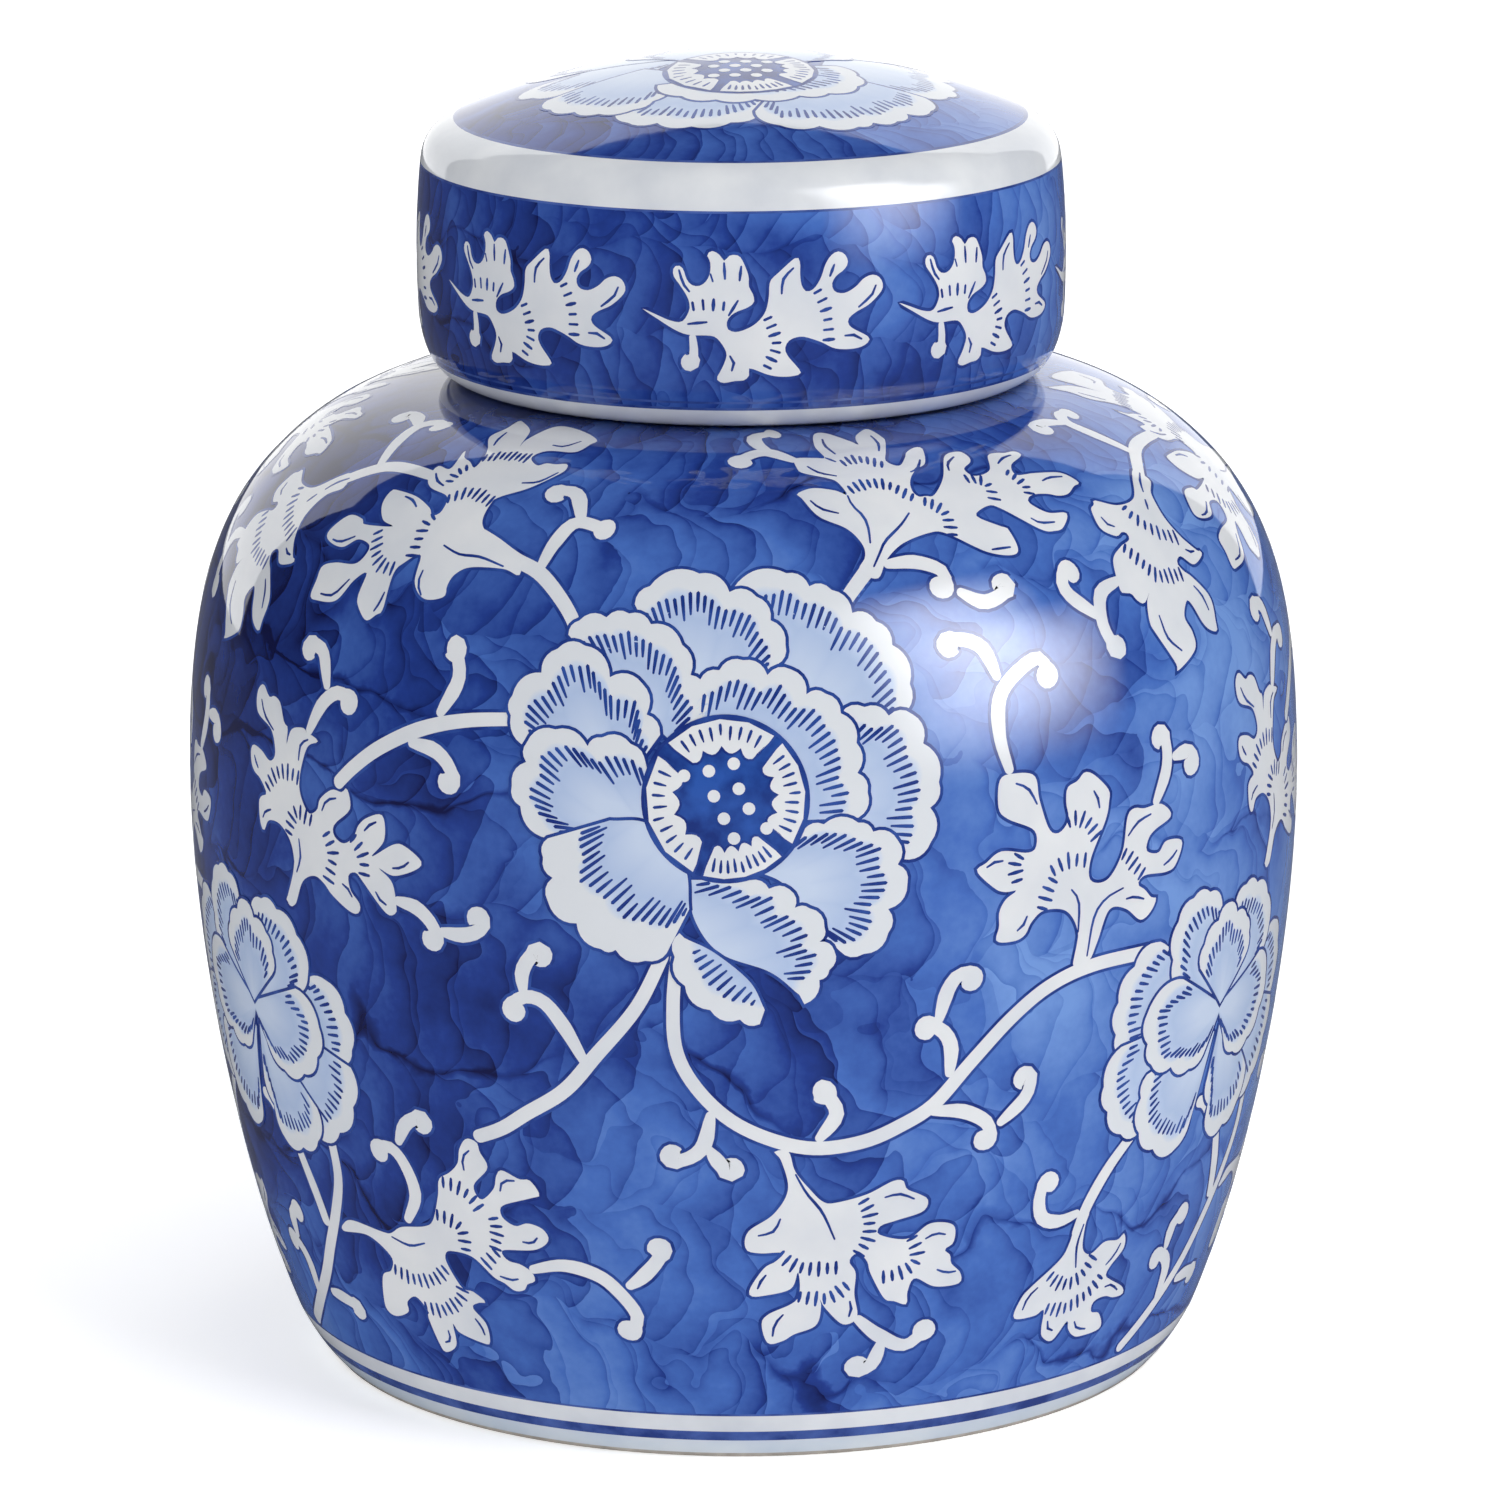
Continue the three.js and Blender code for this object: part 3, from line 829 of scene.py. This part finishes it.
            (94, 27), (91, 28), (90.5, 30), (92, 31), (95, 31), (98, 30), (101.5, 30), (100.5, 32),
            (95, 35), (93, 36.5), (94, 38.5), (97.5, 42), (96.5, 45.5), (94.5, 44.5), (90, 45), (86, 43),
            (83, 45), (82.5, 50.5), (83, 53.5),
        ),
        (
            ((74.5, 40), (77, 38), (81, 37), (84.5, 38.5), (87, 42)),
            ((75.5, 32), (80.5, 31), (85, 32), (89, 34), (91, 36.5)),
        ),
        (
            ((68, 33), (69, 36), (71.5, 38)), ((76.5, 29), (77, 27), (79, 26)),
            ((85.5, 27), (87, 25), (90.5, 24)), ((93.5, 33.5), (96, 33.5), (99, 31.5)),
            ((92, 39), (94.5, 41), (96, 43.5)), ((82, 51), (81, 46), (82, 40.5)),
        ),
    ),
)
leaves = bmesh.new()
for edge, combs, veins in SPRAYS:
    spray(leaves, jar_side, edge, combs, veins)
painted("jar_leaf_sprays", leaves, jar_side, ROUND_JAR, "jar", [leaf_white, pencil])

# ---------------------------------------------------------------- Painting on the jar: the big peonies
# A full peony three times round the jar: scalloped petals in pale blue with a
# white rim and a row of navy ticks, round a dark seed head with white dots.
petal_blue, tree, colour = glazed("petal_pale_blue")
layout = tree.nodes.new("ShaderNodeUVMap")
depth_uv = tree.nodes.new("ShaderNodeSeparateXYZ")
join(tree, layout.outputs["UV"], depth_uv.inputs[0])
waver = calc(tree, "MULTIPLY", calc(tree, "SUBTRACT", noise(tree, 120, 3), 0.5), 0.10)
PETAL_TONES = shades(
    (0.19, (212, 215, 219)), (0.27, (186, 200, 223)), (0.5, (170, 187, 217)), (0.95, (190, 203, 224))
)
join(tree, tones(tree, calc(tree, "ADD", depth_uv.outputs[1], waver), *PETAL_TONES), colour)
NARROW_RIM = 4.6  # how far in the ticks of most petals start, in mm
seed_blue = mottled("seed_head_blue", (24, 48, 118), (44, 84, 164), 150)
FLOWER_COLOURS = [leaf_white, pencil, petal_blue, seed_blue]


def petal(bm, ground, rim, base, layer, scallop=0.2, ticks=(NARROW_RIM, 4.4), pitch=2.1):
    """A petal from its base line to a rim of scallops that meet at the rim's points."""
    cusps = np.array(rim, float)
    root = np.array(base, float)
    root = bend(root) if len(root) > 1 else np.repeat(root, 2, axis=0) + ((0, 0), (0.01, 0))
    heart = root.mean(0)
    plain, edge = [], []
    for a, b in zip(cusps, cusps[1:]):
        t = np.linspace(0, 1, max(4, math.ceil(math.dist(a, b) / 1.3)), endpoint=False)[:, None]
        out = np.array((b[1] - a[1], a[0] - b[0]))
        if out @ ((a + b) / 2 - heart) < 0:
            out = -out
        plain.append(a + (b - a) * t)
        edge.append(a + (b - a) * t + out * scallop * np.sin(math.pi * t) ** 0.8)
    plain, edge = np.vstack(plain + [cusps[-1:]]), np.vstack(edge + [cusps[-1:]])
    roots = evenly(root, count=len(edge)) if len(base) > 1 else np.repeat(heart[None], len(edge), 0)
    deep = np.hypot(*(edge - roots).T)
    rows = max(3, math.ceil(deep.max() / 2.2))
    white_rim = ticks[0] - NARROW_RIM  # a petal with its ticks far in has a broad white rim

    def shape(along, across):
        i = np.rint(along * (len(edge) - 1)).astype(int)
        inwards = np.maximum(deep[i] * (1 - across) - white_rim, 0)
        return roots[i] + (edge[i] - roots[i]) * across[:, None], inwards

    faces = patch(bm, len(edge) - 1, rows, shape, layer + 1, PALE)
    pencilled(bm, ground, faces, layer)
    inset, length = ticks
    run = np.r_[0, np.cumsum(np.hypot(*np.diff(plain, axis=0).T))]
    for i, at in enumerate(np.arange(pitch * 0.8, run[-1] - pitch * 0.6, pitch)):
        spot = np.array([np.interp(at, run, plain[:, 0]), np.interp(at, run, plain[:, 1])])
        shares = np.linspace(0, 1, len(roots))
        root_at = np.array([np.interp(at / run[-1], shares, roots[:, j]) for j in (0, 1)])
        away = math.dist(spot, root_at)
        if away < inset + 1.5:
            continue
        way = (root_at - spot) / away
        start = spot + way * (inset - 1.0 + 0.2 * ((i * 5) % 3 - 1))
        end = start + way * min(length * (0.9 + 0.12 * ((i * 7) % 4 - 1)), away - inset)
        stroke(bm, ground, (start, end), (0.38, 0.38, 0.2), layer + 2, NAVY, step=2.2)


def seed_head(bm, ground, middle, radius, layer, dots):
    """The dark centre: a ringed disc, four small petals that lean in, and dots."""
    cx, cy = middle

    def disc(size, centre=(cx, cy)):
        def shape(along, across):
            turn, r = along * math.tau, size * across
            return np.c_[centre[0] + r * np.cos(turn), centre[1] + r * np.sin(turn)], np.zeros_like(along)
        return shape

    around = max(10, math.ceil(radius * 4))
    faces = patch(bm, around, max(2, math.ceil(radius / 2)), disc(radius), layer + 1, DEEP)
    pencilled(bm, ground, faces, layer)
    for start, end in ((52, 136), (-34, 44), (148, 246), (-106, -46)):
        turns = np.radians(np.linspace(start, end, 5))
        rim = [(cx + radius * 0.66 * math.cos(t), cy + radius * 0.66 * math.sin(t)) for t in turns]
        root = [(cx + radius * 0.985 * math.cos(t), cy + radius * 0.985 * math.sin(t)) for t in turns]
        scale = radius / 16.3
        leaning_petal(bm, ground, rim, root, layer + 3, (cx, cy), scale)
    for x, y in dots:
        patch(bm, 14, 1, disc(radius * 0.078, (x, y)), layer + 6, WHITE)


def leaning_petal(bm, ground, rim, root, layer, heart, scale):
    """A small petal in the seed head, scalloped towards the middle."""
    edge, roots = [], []
    for (a, b), (c, d) in zip(zip(rim, rim[1:]), zip(root, root[1:])):
        for t in np.linspace(0, 1, 5, endpoint=False):
            p = np.array(a) + (np.array(b) - np.array(a)) * t
            inwards = (np.array(heart) - p) / math.dist(heart, p)
            edge.append(p + inwards * 1.3 * scale * math.sin(math.pi * t) ** 0.8)
            roots.append(np.array(c) + (np.array(d) - np.array(c)) * t)
    edge, roots = np.array(edge + [rim[-1]]), np.array(roots + [root[-1]])
    edge[0], edge[-1] = (edge[0] + roots[0] * 2) / 3, (edge[-1] + roots[-1] * 2) / 3

    def shape(along, across):
        i = np.rint(along * (len(edge) - 1)).astype(int)
        return roots[i] + (edge[i] - roots[i]) * across[:, None], np.zeros_like(along)

    faces = patch(bm, len(edge) - 1, 3, shape, layer + 1, WHITE)
    pencilled(bm, ground, faces, layer, PENCIL * 0.7)
    for i in range(2, len(edge) - 2, 2):
        a, b = roots[i] + (edge[i] - roots[i]) * 0.15, roots[i] + (edge[i] - roots[i]) * 0.62
        stroke(bm, ground, (a, b), (0.3, 0.32, 0.15), layer + 2, NAVY, step=2.0)


peony = bmesh.new()
PEONY = (  # rim, base, how far forward the petal lies
    (
        ((-2, 193), (10, 196), (15, 193), (20, 192), (24, 187), (29, 185), (32, 180), (35, 172), (33, 166)),
        ((-2, 172), (10, 170), (20, 158)), 0,
    ),
    (
        ((-24, 189), (-21, 193), (-10, 196), (-3, 192), (3, 191), (6, 186), (9, 181), (7, 177)),
        ((-14, 174), (-2, 171)), 1,
    ),
    (
        ((20, 167), (25, 168), (30, 166), (35, 166), (37, 160), (40, 152), (38, 147), (38, 140), (32, 137)),
        ((16, 160), (18, 148), (18, 141)), 1,
    ),
    (
        (
            (-38, 182), (-36, 185), (-30, 186), (-25, 187), (-20, 185), (-13, 181), (-11, 175), (-8, 172),
            (-8, 167),
        ),
        ((-25, 171), (-15, 162)), 2,
    ),
    (
        (
            (-9, 174), (-5, 176), (0, 178), (5, 175), (10, 176), (13, 171), (17, 171), (20, 167), (23, 161),
            (23, 155), (25, 151), (23, 146),
        ),
        ((-10, 164), (2, 165), (11, 158), (12, 146)), 2,
    ),
    (
        (
            (-45, 159), (-49, 165), (-49, 169), (-43, 174), (-40, 179), (-34, 180), (-28, 174), (-21, 173),
            (-20, 167), (-17, 163),
        ),
        ((-36, 158), (-22, 156)), 3,
    ),
    (
        (
            (12, 144), (16, 145), (23, 145), (26, 143), (31, 141), (31, 136), (33, 132), (29, 127),
            (29, 122), (24, 118), (19, 119),
        ),
        ((2, 136), (8, 133), (12, 126)), 3,
    ),
    (
        (
            (-40, 141), (-46, 147), (-48, 151), (-45, 156), (-45, 160), (-39, 163), (-32, 160), (-29, 162),
            (-23, 161), (-20, 157),
        ),
        ((-30, 143), (-16, 145)), 4,
    ),
    (
        (
            (-5, 134), (1, 134), (5, 132), (9, 132), (10, 128), (13, 128), (16, 124), (15, 121), (18, 119),
            (17, 115), (15, 113), (12, 108),
        ),
        ((-11, 134), (-10, 126), (-5, 119), (5, 115), (11, 110)), 4,
    ),
    (
        (
            (-40, 141), (-41, 137), (-39, 133), (-40, 128), (-34, 124), (-29, 119), (-26, 119), (-20, 117),
            (-15, 120),
        ),
        ((-27, 145.5), (-19, 145), (-12, 137), (-11, 128)), 5,
    ),
    (
        ((-13, 123), (-14, 118), (-12, 112), (-7, 107), (-1, 105), (3, 104)),
        ((-12, 122), (-6, 119), (1, 113), (4, 107)), 5,
    ),
)
for rim, base, forward in PEONY:
    broad_petal = forward == 5 and len(rim) > 6
    petal(peony, jar_side, rim, base, 8 + 3 * forward, ticks=(9.0, 6.0) if broad_petal else (NARROW_RIM, 5.0))
seed_head(
    peony, jar_side, (-3.7, 150.3), 16.3, 26,
    (
        (-12, 155), (-7, 156), (-2, 157.5), (-6, 151), (-1, 152.5), (-4, 146.5), (1, 148.5), (-2, 142.5),
        (4.5, 144.5),
    ),
)
painted("jar_peonies", peony, jar_side, ROUND_JAR, "jar", FLOWER_COLOURS)

# ---------------------------------------------------------------- Painting on the jar: the side flowers
# Smaller peonies seen from the side hang between the big ones: a closed bud in
# the middle, two cupped petals in front of it and a ring of petals behind.
side_flower = bmesh.new()
SIDE_FLOWER = (
    (((98, 108), (94, 111), (88, 107), (84, 100), (84, 93), (86, 88)), ((106, 105), (104, 92)), 0),
    (((142, 100), (150, 103), (155, 97), (156, 89), (152, 85)), ((136, 99), (137, 86)), 0),
    (((86, 90), (82, 82), (84, 76), (89, 70), (95, 69)), ((103, 92), (106, 80)), 1),
    (((155, 85), (154, 76), (148, 69), (140, 66)), ((138, 90), (132, 76)), 1),
    (((95, 82), (94, 77), (95, 69), (101, 64), (110, 62), (114, 69)), ((117, 88), (119, 86)), 2),
    (((119, 76), (122, 69), (124, 62), (132, 62), (139, 65), (141, 73)), ((121, 87), (124, 88)), 2),
    (((103, 99), (100, 106), (101, 114), (106, 118), (112, 118), (117, 115)), ((117, 93), (120, 99)), 2),
    (((123, 113), (128, 116), (134, 115), (141, 111), (144, 103), (138, 98)), ((121, 99), (123, 93)), 2),
    (
        ((104, 101), (93, 96), (94, 89), (96, 84), (103, 82), (110, 80), (116, 83)),
        ((120, 92), (120, 90)), 3,
    ),
    (((139, 99), (146, 92), (144, 85), (138, 80), (130, 79), (124, 84)), ((120, 92), (120, 90)), 3),
    (
        ((110, 102), (111, 107), (116, 111), (120, 114), (124, 111), (129, 109), (131, 105), (130, 100)),
        ((120, 92),), 4,
    ),
)
for rim, base, forward in SIDE_FLOWER:
    petal(side_flower, jar_side, rim, base, 8 + 3 * forward, ticks=(4.2, 3.6), pitch=2.0)
painted("jar_side_flowers", side_flower, jar_side, ROUND_JAR, "jar", FLOWER_COLOURS)

# ---------------------------------------------------------------- The lid
# The lid is a turned, domed cap that drops over the neck and rests on the
# shoulder: a cobalt disc on top, a plain white ring, and a cobalt side band.
low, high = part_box("lid")
LID_Z = low.z / MM
squat = (high.z - low.z - PROUD * MM) / (high.z - low.z)
RIM_Z, THREAD_Z, BAND_LOW, BAND_EDGE, BAND_TOP = 4.4, 5.0, 5.9, 6.4, 45.6
SIDE = outline(
    (59, 0),
    ((63.5, 0.3), (67.2, 4), (68.1, 13)),
    ((68.7, 24), (68.5, 36), (67.4, 46)),
    ((66.9, 50.6), (64.8, 52.9), (60, 54.7)),
    ((44, 61.2), (22, 67.3), (0, 67.3)),
    step=1.4,
)
SIDE = [(max(0.0, r - PROUD * min(1, r / 20)), z * squat) for r, z in SIDE]


def dome_height(radius):
    """How high the lid's top is above its rim at this distance from its axis."""
    dome = [(-r, z) for r, z in SIDE if z > 45]
    return float(np.interp(-radius, *zip(*dome)))


DISC_Z, LOOP_Z = dome_height(60.0), dome_height(59.2)
side = ringed(SIDE, (RIM_Z, THREAD_Z, BAND_LOW, BAND_EDGE, BAND_TOP - 0.5, BAND_TOP, DISC_Z, LOOP_Z))
hollow = outline(
    (0, 61.7),
    ((20, 61.7), (40, 56.3), (54, 50.6)),
    ((59.5, 48.4), (61.6, 46.5), (62, 41)),
    ((63, 30), (62.9, 19), (61.6, 12)),
    ((60.6, 7), (55.5, 6), (55.5, 2)),
    ((55.5, 0.8), (56.2, 0.1), (57, 0)),
    side[0],
    step=5,
)
bm = turned([(r, z + LID_Z) for r, z in hollow + side[1:]], 288)
lid_wash = cobalt("lid_cobalt_wash", 64.0, 0.019)
RINGS = (  # where each ring of colour starts, from the rim up to the disc
    (0, 1), (RIM_Z, 2), (THREAD_Z, 0), (BAND_LOW, 2), (BAND_EDGE, 0),
    (BAND_TOP - 0.5, 2), (BAND_TOP, 1), (DISC_Z, 2), (LOOP_Z, 0),
)
for face in bm.faces:
    at = face.calc_center_median() / MM
    z, reach = at.z - LID_Z, math.hypot(at.x, at.y)
    wall_r = np.interp(z, [p[1] for p in side], [p[0] for p in side])
    outer = reach > wall_r - 1.2 or z > 50 and face.normal.z > 0.3
    face.material_index = [paint for start, paint in RINGS if z >= start][-1] if outer and z > 0 else 1
made("lid_ground", bm, [lid_wash, white_glaze, navy_line], "lid", ("lid",))

# ---------------------------------------------------------------- Painting on the lid: the band of leaves
# Eight small leaf sprays follow each other round the side of the lid, each with
# its tail over the last one.
LID_REACH = 68.0  # radius that the lid's side is painted on, in mm
ROUND_LID = 8  # leaf sprays round the lid
lid_side = Ground(SIDE, LID_REACH, LID_Z)
band = bmesh.new()
# Open point: these points were converted and rounded by a separate script, and not
# chosen by hand. They should be redrawn from a few lobes, arcs and curves.
LEAF_EDGE = (
    (-20.2, 29.8), (-17.5, 28.8), (-14.7, 27.7), (-12.1, 27.5), (-10.6, 29.8), (-10.6, 31.6), (-11.3, 33.2),
    (-12.5, 35), (-13.8, 36.9), (-13.7, 38.5), (-12.7, 38.9), (-11.8, 38.2), (-11.1, 36.2), (-10, 35),
    (-8.4, 34.9), (-7, 36), (-6.3, 37.8), (-6.3, 39.8), (-6.9, 41.2), (-5.9, 42), (-4.5, 41.3), (-3.4, 40),
    (-2.5, 41), (-1.1, 41.2), (0, 40.5), (1.4, 37.1), (1.5, 34.8), (2.3, 33.2), (2.5, 31.6), (1.2, 30.5),
    (-1.1, 29.6), (-2.5, 28.5), (-3, 27.3), (-2.7, 26), (-1.1, 25.5), (1.2, 26.2), (3.2, 27.5), (4.8, 29.6),
    (5.5, 32.5), (5.8, 35.7), (7.5, 37.5), (11, 40.4), (11.9, 39.4), (11.9, 37.1), (12.2, 34.8),
    (13.2, 33.5), (14.8, 34.1), (16.2, 36.2), (17.2, 38.9), (18.5, 40.7), (20, 41.3), (21.4, 40.5),
    (21.9, 38.9), (21, 37.5), (19.4, 36.4), (18.5, 34.8), (19.1, 33.2), (21.2, 32.8), (23.5, 33.9),
    (25.3, 35.5), (27.3, 36.1), (28.9, 35.3), (29.5, 33.5), (28.5, 31.9), (26.2, 30), (23.5, 28.7),
    (21.9, 27.3), (22.5, 25.7), (26.2, 23.5), (26.2, 22.3), (24.4, 21.4), (21.6, 21.2), (18.9, 21.6),
    (16.6, 22.8), (14.4, 23.7), (12.1, 24.3), (9.8, 23.7), (8.8, 22.1), (9.4, 20.3), (12, 17), (10.7, 16.2),
    (8, 16.1), (5.3, 16.6), (1.6, 18), (1.5, 16.6), (0.5, 15.5), (-1.5, 15.3), (-3.8, 14.9), (-5.1, 15.7),
    (-4.5, 17.1), (-3.6, 18.9), (-3.1, 21.2), (-4.7, 23.9), (-6.3, 24.7), (-10.6, 24.8), (-13.4, 25.7),
    (-17, 27.8),
)
LEAF_COMBS = (
    ((-9.8, 30.7), (-6.8, 31.1), (-3.6, 30.8)), ((5.3, 28.2), (6.6, 25), (7, 22.1), (5.2, 18.2)),
    ((15.5, 33.4), (16.9, 30.5), (17.6, 27.5), (17.8, 23.4)),
)
LEAF_VEINS = (
    ((-12.7, 38.2), (-11.8, 35.3), (-10.4, 33.5)), ((-6.3, 37.5), (-5.7, 35.6)), ((-3.5, 39.8), (-3.3, 36.1)),
    ((0, 39.1), (-0.4, 35.8)), ((-0.6, 32.1), (-2.7, 28.7)), ((10.7, 38.5), (8.5, 36.2), (8.1, 33)),
    ((19.1, 38.9), (18, 36.2)), ((28, 34.1), (27.1, 32.1), (24, 29.6)), ((21, 24), (23, 24.1), (25, 23)),
    ((-2.5, 20.7), (-1.6, 19.1), (-2.1, 17.3)), ((-11.1, 27), (-8.8, 27.3), (-6.8, 27.5)),
)
spray(band, lid_side, LEAF_EDGE, LEAF_COMBS, LEAF_VEINS, layer=4, pencil_layer=2, tick=2.5)
LEAF_CURL = ((-10, 25), (-9.7, 21.4), (-10.3, 19.3), (-12.4, 18.9))
stroke(band, lid_side, LEAF_CURL, (0.7, 0.9, 1.0), 3, pencil_layer=1, bulb=1.9)
painted("lid_leaf_band", band, lid_side, ROUND_LID, "lid", [leaf_white, pencil])

# ---------------------------------------------------------------- Painting on the lid: the top flower
# One open peony covers the cobalt disc on the dome.
lid_top = Ground([p for p in SIDE if p[1] > 53], LID_REACH, LID_Z, flat=True)
top_flower = bmesh.new()
TOP_FLOWER = (
    (((-22, 38), (-18, 46), (-8, 48), (2, 49), (12, 46), (16, 40)), ((-10, 10), (6, 10)), 0),
    (((36, -18), (43, -12), (44, -5), (42, 3), (43, 10), (38, 18)), ((16, -14), (18, 2)), 0),
    (
        ((-38, 0), (-46, -5), (-43, -11), (-36, -15), (-30, -16), (-26, -14), (-18, -10)),
        ((-22, 5), (-12, -4)), 0,
    ),
    (((-36, 4), (-44, 12), (-41, 21), (-33, 28), (-26, 35), (-17, 36)), ((-14, -2), (-6, 6)), 1),
    (((14, 42), (24, 43), (32, 38), (38, 31), (38, 23), (33, 16)), ((5, 6), (14, -2)), 1),
    (
        ((-25, -33), (-23, -40), (-17, -42), (-10, -45), (-2, -44), (4, -40), (6, -35)),
        ((-12, -24), (0, -26)), 1,
    ),
    (
        ((-40, -17), (-39, -24), (-34, -29), (-29, -33), (-22, -34), (-18, -31), (-15, -25)),
        ((-20, -8), (-12, -16)), 2,
    ),
    (
        ((3, -39), (8, -45), (16, -44), (24, -42), (27, -39), (32, -36), (34, -31), (39, -26), (38, -18)),
        ((8, -26), (16, -14)), 2,
    ),
    (
        ((-20, 4), (-23, 12), (-17, 20), (-9, 24), (0, 26), (9, 24), (17, 20), (22, 12), (20, 2)),
        ((-12, -4), (0, 2), (12, -6)), 3,
    ),
    (
        ((-17, -22), (-12, -30), (-5, -33), (3, -33), (12, -30), (18, -27), (24, -20), (24, -12), (20, -6)),
        ((-12, -22), (0, -29), (13, -10)), 3,
    ),
)
for rim, base, forward in TOP_FLOWER:
    petal(top_flower, lid_top, rim, base, 2 + 3 * forward, ticks=(4.4, 4.0))
seed_head(
    top_flower, lid_top, (0, -14), 15.5, 14,
    [(x + 2.2 * (j % 2) - 5.5, y - 14) for j, y in enumerate((-5, -1.5, 2, 5.5)) for x in (0, 4.4, 8.8)],
)
painted("lid_top_flower", top_flower, lid_top, 1, "lid", FLOWER_COLOURS)

# ---------------------------------------------------------------- Floor, lights and camera
# A sheet of white paper under the jar, soft studio lamps that aren't seen, and
# a long lens from a little above.
ground = bmesh.new()
bmesh.ops.create_grid(ground, x_segments=1, y_segments=1, size=30)
mesh = bpy.data.meshes.new("floor")
ground.to_mesh(mesh)
ground.free()
floor = bpy.data.objects.new("floor", mesh)
bpy.context.scene.collection.objects.link(floor)
paper = bpy.data.materials.new("white_paper")
paper.use_nodes = True
tree = paper.node_tree
shader = tree.nodes["Principled BSDF"]
shader.inputs["Roughness"].default_value = 0.9
shader.inputs["Specular IOR Level"].default_value = 0.2
grain = tones(tree, noise(tree, 3), (0.3, (0.9, 0.895, 0.89, 1)), (0.7, (0.93, 0.925, 0.92, 1)))
join(tree, grain, shader.inputs["Base Color"])
shader.inputs["Emission Color"].default_value = (1, 1, 1, 1)
# the paper glows of itself far from the jar, where no lamp reaches
away = tree.nodes.new("ShaderNodeVectorMath")
away.operation = "LENGTH"
join(tree, tree.nodes.new("ShaderNodeTexCoord").outputs["Object"], away.inputs[0])
join(tree, spread(tree, away.outputs["Value"], 0.5, 2.5, 0.5, 1.0), shader.inputs["Emission Strength"])
# it is dimmer where it is only mirrored in the glaze
dim = tree.nodes.new("ShaderNodeBsdfDiffuse")
dim.inputs["Color"].default_value = (0.2, 0.2, 0.21, 1)
either = tree.nodes.new("ShaderNodeMixShader")
join(tree, tree.nodes.new("ShaderNodeLightPath").outputs["Is Glossy Ray"], either.inputs[0])
join(tree, shader.outputs[0], either.inputs[1])
join(tree, dim.outputs[0], either.inputs[2])
join(tree, either.outputs[0], tree.nodes["Material Output"].inputs["Surface"])
mesh.materials.append(paper)

world = bpy.data.worlds.new("studio")
bpy.context.scene.world = world
world.use_nodes = True
tree = world.node_tree
tree.nodes.clear()
room, wall_light = tree.nodes.new("ShaderNodeBackground"), tree.nodes.new("ShaderNodeBackground")
room.inputs[0].default_value = (0.88, 0.92, 1.0, 1)
wall_light.inputs[0].default_value, wall_light.inputs[1].default_value = (1, 1, 1, 1), 1.05
mix, out = tree.nodes.new("ShaderNodeMixShader"), tree.nodes.new("ShaderNodeOutputWorld")
ray = tree.nodes.new("ShaderNodeLightPath")
join(tree, spread(tree, ray.outputs["Is Glossy Ray"], 0.0, 1.0, 0.28, 0.05), room.inputs[1])
join(tree, ray.outputs["Is Camera Ray"], mix.inputs[0])
join(tree, room.outputs[0], mix.inputs[1])
join(tree, wall_light.outputs[0], mix.inputs[2])
join(tree, mix.outputs[0], out.inputs[0])


def lamp(name, at, aim, wide, high, watts, lights=True, mirrored=True, soft=False):
    """A rectangular lamp that isn't seen itself; a soft one fades towards its edges."""
    light = bpy.data.lights.new(name, "AREA")
    light.shape, light.size, light.size_y, light.energy = "RECTANGLE", wide, high, watts
    if soft:
        light.use_nodes = True
        tree = light.node_tree
        cell = tree.nodes.new("ShaderNodeSeparateXYZ")
        join(tree, tree.nodes.new("ShaderNodeNewGeometry").outputs["Parametric"], cell.inputs[0])
        fade = [calc(tree, "SINE", calc(tree, "MULTIPLY", cell.outputs[i], math.pi)) for i in (0, 1)]
        both = calc(tree, "POWER", calc(tree, "MAXIMUM", calc(tree, "MULTIPLY", *fade), 0.0), 1.3)
        join(tree, calc(tree, "MULTIPLY", both, 2.0), tree.nodes["Emission"].inputs["Strength"])
    holder = bpy.data.objects.new(name, light)
    holder.location = at
    holder.rotation_euler = (Vector(aim) - Vector(at)).to_track_quat("-Z", "Y").to_euler()
    holder.visible_camera = False
    holder.visible_diffuse, holder.visible_glossy = lights, mirrored
    bpy.context.scene.collection.objects.link(holder)


lamp("backdrop_glow", (-0.43, 2.4, 1.29), (-0.43, 0, 1.29), 4.86, 2.57, 12)
lamp("backdrop_sheen", (-0.43, 2.39, 1.29), (-0.43, 0, 1.29), 4.86, 2.57, 42, lights=False)
lamp("right_softbox", (1.05, -0.95, 1.1), (0, 0, 0.15), 1.4, 1.15, 27, lights=False, soft=True)
lamp("right_veil", (1.5, -1.0, 0.62), (0, 0, 0.12), 2.1, 1.3, 58, lights=False, soft=True)
lamp("key", (1.5, -1.5, 2.2), (0, 0, 0.1), 1.2, 1.2, 31, mirrored=False)
lamp("front_fill", (-0.9, -2.6, 1.5), (0, 0, 0.12), 2.0, 1.2, 12.5, mirrored=False)
lamp("top_soft", (0.3, 0.2, 2.2), (0, 0, 0.1), 1.8, 1.8, 17, mirrored=False)

EYE_AT = (0, -1.652, 0.5358)
LOOKS_DOWN, LOOKS_ASIDE, TILT = 13.885, -0.047, -0.26  # degrees
camera = bpy.data.cameras.new("camera")
camera.lens, camera.sensor_width = 191.8, 36
eye = bpy.data.objects.new("camera", camera)
bpy.context.scene.collection.objects.link(eye)
eye.matrix_world = (
    Matrix.Translation(EYE_AT)
    @ Matrix.Rotation(math.radians(LOOKS_ASIDE), 4, "Z")
    @ Matrix.Rotation(math.radians(90 - LOOKS_DOWN), 4, "X")
    @ Matrix.Rotation(math.radians(TILT), 4, "Z")
)
bpy.context.scene.camera = eye
bpy.context.scene.view_settings.view_transform = "Standard"
